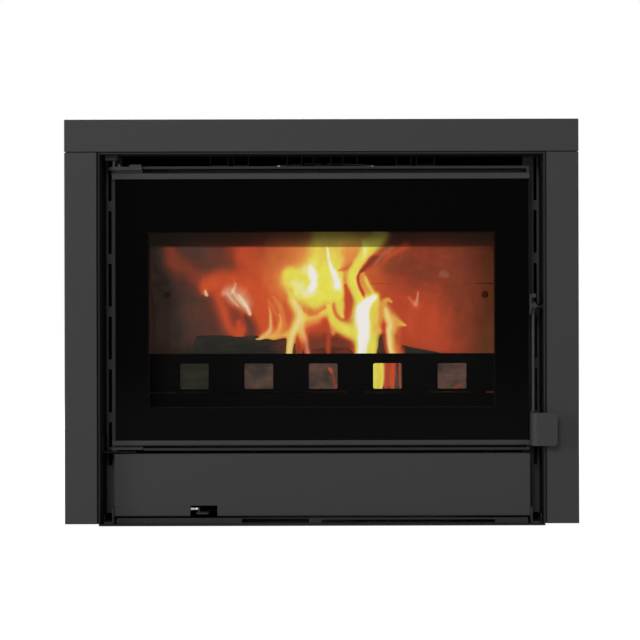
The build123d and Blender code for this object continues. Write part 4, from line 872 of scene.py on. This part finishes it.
glintStrokes = {
    "fanLight": (0.97, 0.19, 2, 0.146, [(-150, 362, 4), (-140, 364, 8), (-130, 357, 10), (-120, 346, 8)]),
    "fanStreakOne": (0.97, 0.35, 2, 0.146, [(-146, 362, 1.3), (-138, 352, 1.7), (-130, 342, 1.1)]),
    "fanStreakTwo": (0.97, 0.42, 2, 0.146, [(-138, 368, 1.3), (-129, 354, 1.7), (-121, 342, 1.1)]),
    "fanStreakThree": (0.97, 0.62, 2, 0.146, [(-128, 360, 1.3), (-119, 344, 2.3), (-111, 329, 1.5)]),
    "fanUp": (0.97, 0.32, 2, 0.146, [(-134, 379, 0.9), (-136, 370, 1.6), (-139, 362, 1.5)]),
    "tipLight": (0.97, 0.6, 2, 0.146, [(-182, 366, 1.2), (-181, 361, 2), (-179, 358, 1.2)]),
    "sparkLight": (0.97, 0.2, 2, 0.146, [(150, 364, 0.9), (148, 353, 1.6), (147, 345, 2.8)]),
    "sparkLeft": (0.97, 0.08, 2, 0.146, [(136, 356, 1.2), (141, 349, 2), (146, 344, 2.4)]),
    "rightDot": (0.97, 0.06, 2, 0.146, [(189, 391, 5), (193, 390, 5)]),
    "wispLight": (0.97, 0.055, 2, 0.146, [(82, 404, 1.5), (96, 422, 3), (111, 434, 3)]),
    "legOneLight": (0.97, 0.32, 2, 0.146, [(-44, 350, 3), (-36, 335, 3.5), (-36, 318, 3.5), (-43, 302, 3),
        (-49, 284, 2.8), (-51, 266, 2.6)]),
    "legTwoLight": (0.97, 0.18, 2, 0.146, [(-30, 320, 2), (-28, 300, 2.6), (-23, 281, 2.4),
        (-20, 266, 2.4)]),
    "lickLight": (0.97, 0.18, 2, 0.146, [(-92, 293, 2), (-83, 300, 2.4), (-80, 314, 1.5), (-80, 330, 1)]),
    "farLight": (0.97, 0.32, 2, 0.146, [(98, 338, 1.8), (103, 325, 2.8), (107, 314, 3.4), (105, 300, 2.8),
        (106, 284, 2.8), (110, 266, 2.8)]),
    "corePatch": (0.97, 0.4, 2, 0.146, [(-44, 378, 4), (-36, 372, 5), (-30, 376, 4)]),
    "corePatchTwo": (0.97, 0.35, 2, 0.146, [(-26, 396, 4), (-20, 402, 5), (-14, 408, 4)]),
}
fireSheets = {
    # name: strokes, low corner and high corner in seen millimetres, spacing of the mesh, waviness of
    # the edges, depth where there is no stroke
    "fire_haze": (hazeStrokes, (-266, 262), (268, 461), 3.0, 2.5, 0.2),
    "fire_flames": (flameStrokes, (-200, 264), (172, 461), 1.35, 0.8, 0.2),
    "fire_low": (lowStrokes, (-20, 190), (232, 262), 1.8, 0.6, 0.2),
    "fire_glints": (glintStrokes, (-192, 262), (212, 461), 1.35, 0.8, 0.145),
}
fireShape = {
    "samples": 40,          # dabs along one stroke
    "fade": 0.69,           # a stroke is half as strong at its half width
    "finestHalf": 0.3,
    "leanDepth": 0.098,     # the flames curl round the baffle's front edge
    "leanFrom": 330,
    "leanTo": 432,
    "leanShare": 0.12,
    "belly": 0.35,          # how far a stroke bulges towards the glass, as a share of its half width
    "thinnest": 0.015,      # where the fire is clearer than this there is no mesh
}
fireColours = [
    (0.00, shade(22, 18, 16)), (0.10, shade(70, 58, 52)), (0.20, shade(104, 56, 44)),
    (0.28, shade(126, 58, 40)), (0.40, shade(178, 70, 44)), (0.50, shade(202, 82, 46)),
    (0.60, shade(218, 130, 66)), (0.70, shade(226, 172, 78)), (0.79, shade(226, 208, 84)),
    (0.87, shade(226, 220, 84)), (0.94, shade(230, 224, 150)), (1.00, shade(236, 232, 224)),
]
fireFinish = {
    "strength": 1.06,
    "licks": (60, 4, (1, 1, 0.28)),
    "warmthLicks": 0.10,
    "veilLicks": 0.4,
}


def paintedValue(tree, name):
    node = newNode(tree, "Attribute")
    node.attribute_name = name
    return node.outputs["Fac"]


def fireMaterial():
    look = fireFinish
    material, tree, output = newMaterial("fire")
    licks = maths(tree, "SUBTRACT", cloud(tree, coordinates(tree), *look["licks"]), 0.5)
    level = maths(tree, "MULTIPLY_ADD", licks, look["warmthLicks"], paintedValue(tree, "warmth"))
    ragged = maths(tree, "MULTIPLY_ADD", licks, look["veilLicks"], 1.0)
    cover = maths(tree, "MULTIPLY", paintedValue(tree, "veil"), ragged)
    light = newNode(tree, "Emission", Color=ramp(tree, level, fireColours), Strength=look["strength"])
    mixShaders(tree, output, cover, newNode(tree, "BsdfTransparent"), light)
    material.cycles.emission_sampling = "NONE"     # no sheet is sampled as a lamp
    return material


finishes["fire"] = fireMaterial()


def curvePoint(points, share):
    # a smooth path through the points, from 0 to 1
    spans = len(points) - 1
    at = min(share * spans, spans - 1e-6)
    index = int(at)
    t = at - index
    around = [points[max(0, min(spans, index + k))] for k in (-1, 0, 1, 2)]
    result = []
    for a, b, c, d in zip(*around):
        result.append(0.5 * (2 * b + (c - a) * t + (2 * a - 5 * b + 4 * c - d) * t * t
                             + (3 * b - a - 3 * c + d) * t * t * t))
    return result


def ripple(x, z, size):
    # sways the places a little, so that the edges waver as flames do
    sideways = np.sin(x / 11 + z / 17) + 0.6 * np.sin(z / 7.3 - x / 19 + 2)
    sideways += 0.35 * np.sin(z / 3.7 + x / 5.1)
    upwards = np.sin(x / 9 - z / 23 + 1) + 0.5 * np.sin(x / 4.9 + z / 13)
    return x + size * sideways, z + size * upwards


def airbrush(x, z, strokes, restDepth):
    shape = fireShape
    warmth = np.zeros_like(x)
    veil = np.zeros_like(x)
    depths = np.full_like(x, restDepth)
    for strokeWarmth, cover, edge, depth, points in strokes.values():
        near = np.full_like(x, 1e9)
        for dab in range(shape["samples"]):
            dabX, dabZ, half = curvePoint(points, dab / (shape["samples"] - 1))
            reach = max(half, shape["finestHalf"])
            near = np.minimum(near, ((x - dabX) ** 2 + (z - dabZ) ** 2) / reach ** 2)
        paint = np.exp(-shape["fade"] * near ** (edge / 2))
        widest = max(point[2] for point in points) / 1000
        depths += (depth - shape["belly"] * widest - depths) * paint
        paint *= cover
        total = 1 - (1 - veil) * (1 - paint)
        warmth = (warmth * veil * (1 - paint) + strokeWarmth * paint) / np.maximum(total, 1e-4)
        veil = total
    return warmth, veil, depths


def makeFireSheet(name, strokes, low, high, spacing, waviness, restDepth):
    shape = fireShape
    sheet = newGrid(int((high[0] - low[0]) / spacing), int((high[1] - low[1]) / spacing))
    mesh = sheet.data
    co = np.empty(len(mesh.vertices) * 3, "f")
    mesh.vertices.foreach_get("co", co)
    co = co.reshape(-1, 3)
    x = low[0] + (co[:, 0] + 1) / 2 * (high[0] - low[0])
    z = low[1] + (co[:, 1] + 1) / 2 * (high[1] - low[1])
    warmth, veil, depth = airbrush(*ripple(x, z, waviness), strokes, restDepth)
    rise = np.clip((z - shape["leanFrom"]) / (shape["leanTo"] - shape["leanFrom"]), 0, 1)
    lean = rise * rise * (3 - 2 * rise)
    curled = np.minimum(depth, shape["leanDepth"] + (depth - shape["leanDepth"]) * shape["leanShare"])
    co[:, 0], co[:, 1], co[:, 2] = placeSeen(x, z, depth + (curled - depth) * lean)
    mesh.vertices.foreach_set("co", co.ravel())
    mesh.attributes.new("warmth", "FLOAT", "POINT").data.foreach_set("value", warmth)
    mesh.attributes.new("veil", "FLOAT", "POINT").data.foreach_set("value", veil)
    bpy.ops.object.mode_set(mode="EDIT")
    bpy.ops.mesh.select_mode(type="VERT")
    bpy.ops.mesh.select_all(action="DESELECT")
    bpy.ops.object.mode_set(mode="OBJECT")
    mesh.vertices.foreach_set("select", veil < shape["thinnest"])
    bpy.ops.object.mode_set(mode="EDIT")
    bpy.ops.mesh.delete(type="VERT")
    bpy.ops.object.mode_set(mode="OBJECT")
    smooth(sheet)
    settle(sheet, name, finishes["fire"], "insert")


for name, sheet in fireSheets.items():
    makeFireSheet(name, *sheet)
print("fire painted:", len(fireSheets), "sheets")


# studio
studio = {
    "ambient": 0.18,
    "whiteSteps": (-0.05, 0.35),       # where the white background starts for gloss, and is full, along Y
    "aim": (0, -0.1, 0.3),
    "clearLayers": 32,                 # see-through faces that a ray may cross
}
floorLook = {
    "size": 14,
    "place": (0, 1.5, -0.0005),
    "bounceGrey": (0.40, 0.40, 0.40),
    "shadowGrey": (0.22, 0.22, 0.22),  # takes the object's shadow, under the white
    "white": 0.95,
}
lamps = {
    # name: power, size, place
    "keyLamp": (82, 1.6, (-0.8, -4.5, 2.3)),
    "fillLamp": (14, 1.6, (2.2, -4.4, 0.9)),
    "sideLamp": (180, 1.6, (-6.0, -2.4, 1.0)),
    "rimLamp": (150, 1.6, (-1.0, 3.4, 2.6)),
    "backLamp": (230, 1.6, (5.6, 2.4, 1.2)),
}


def seenRays(tree, path, glossy):
    seen = maths(tree, "MAXIMUM", path.outputs["Is Camera Ray"], path.outputs["Is Transmission Ray"])
    return maths(tree, "MAXIMUM", seen, glossy)


def makeFloor():
    look = floorLook
    selectNothing()
    bpy.ops.mesh.primitive_plane_add(size=look["size"], location=look["place"])
    floor = bpy.context.object
    floor.name = "studio_floor"
    material, tree, output = newMaterial("studioFloor")
    plain = newNode(tree, "BsdfDiffuse", Color=look["bounceGrey"])
    faint = newNode(tree, "BsdfDiffuse", Color=look["shadowGrey"])
    white = newNode(tree, "Emission", Strength=look["white"])
    both = newNode(tree, "AddShader")
    tree.links.new(faint.outputs[0], both.inputs[0])
    tree.links.new(white.outputs[0], both.inputs[1])
    path = newNode(tree, "LightPath")
    mixShaders(tree, output, seenRays(tree, path, path.outputs["Is Glossy Ray"]), plain, both)
    floor.data.materials.append(material)


def makeLamp(name, power, size, place):
    data = bpy.data.lights.new(name, "AREA")
    data.energy = power
    data.size = size
    lamp = bpy.data.objects.new(name, data)
    scene.collection.objects.link(lamp)
    lamp.location = place
    lamp.rotation_euler = (Vector(studio["aim"]) - Vector(place)).to_track_quat("-Z", "Y").to_euler()


def makeWorld():
    world = bpy.data.worlds.new("studio")
    scene.world = world
    world.use_nodes = True
    tree = world.node_tree
    tree.nodes.clear()
    output = newNode(tree, "OutputWorld")
    dim = newNode(tree, "Background", Color=(1, 1, 1), Strength=studio["ambient"])
    white = newNode(tree, "Background", Color=(1, 1, 1), Strength=1.0)
    path = newNode(tree, "LightPath")
    behind = step(tree, axis(tree, coordinates(tree, "Generated"), "Y"), *studio["whiteSteps"])
    glossy = maths(tree, "MULTIPLY", path.outputs["Is Glossy Ray"], behind)
    mixShaders(tree, output, seenRays(tree, path, glossy), dim, white)


def makeCamera():
    data = bpy.data.cameras.new("photographer")
    camera = bpy.data.objects.new("photographer", data)
    scene.collection.objects.link(camera)
    data.lens = viewing["lens"]
    data.sensor_width = viewing["sensor"]
    data.shift_x = viewing["shiftX"]
    data.clip_start = viewing["clipStart"]
    camera.location = (viewing["side"], trimFront - viewing["distance"], viewing["height"])
    camera.rotation_euler = (math.radians(90), math.radians(viewing["roll"]), 0)
    scene.camera = camera


makeFloor()
makeWorld()
for name, lamp in lamps.items():
    makeLamp(name, *lamp)
makeCamera()
scene.view_settings.view_transform = "Standard"
scene.cycles.transparent_max_bounces = studio["clearLayers"]
print("studio set")
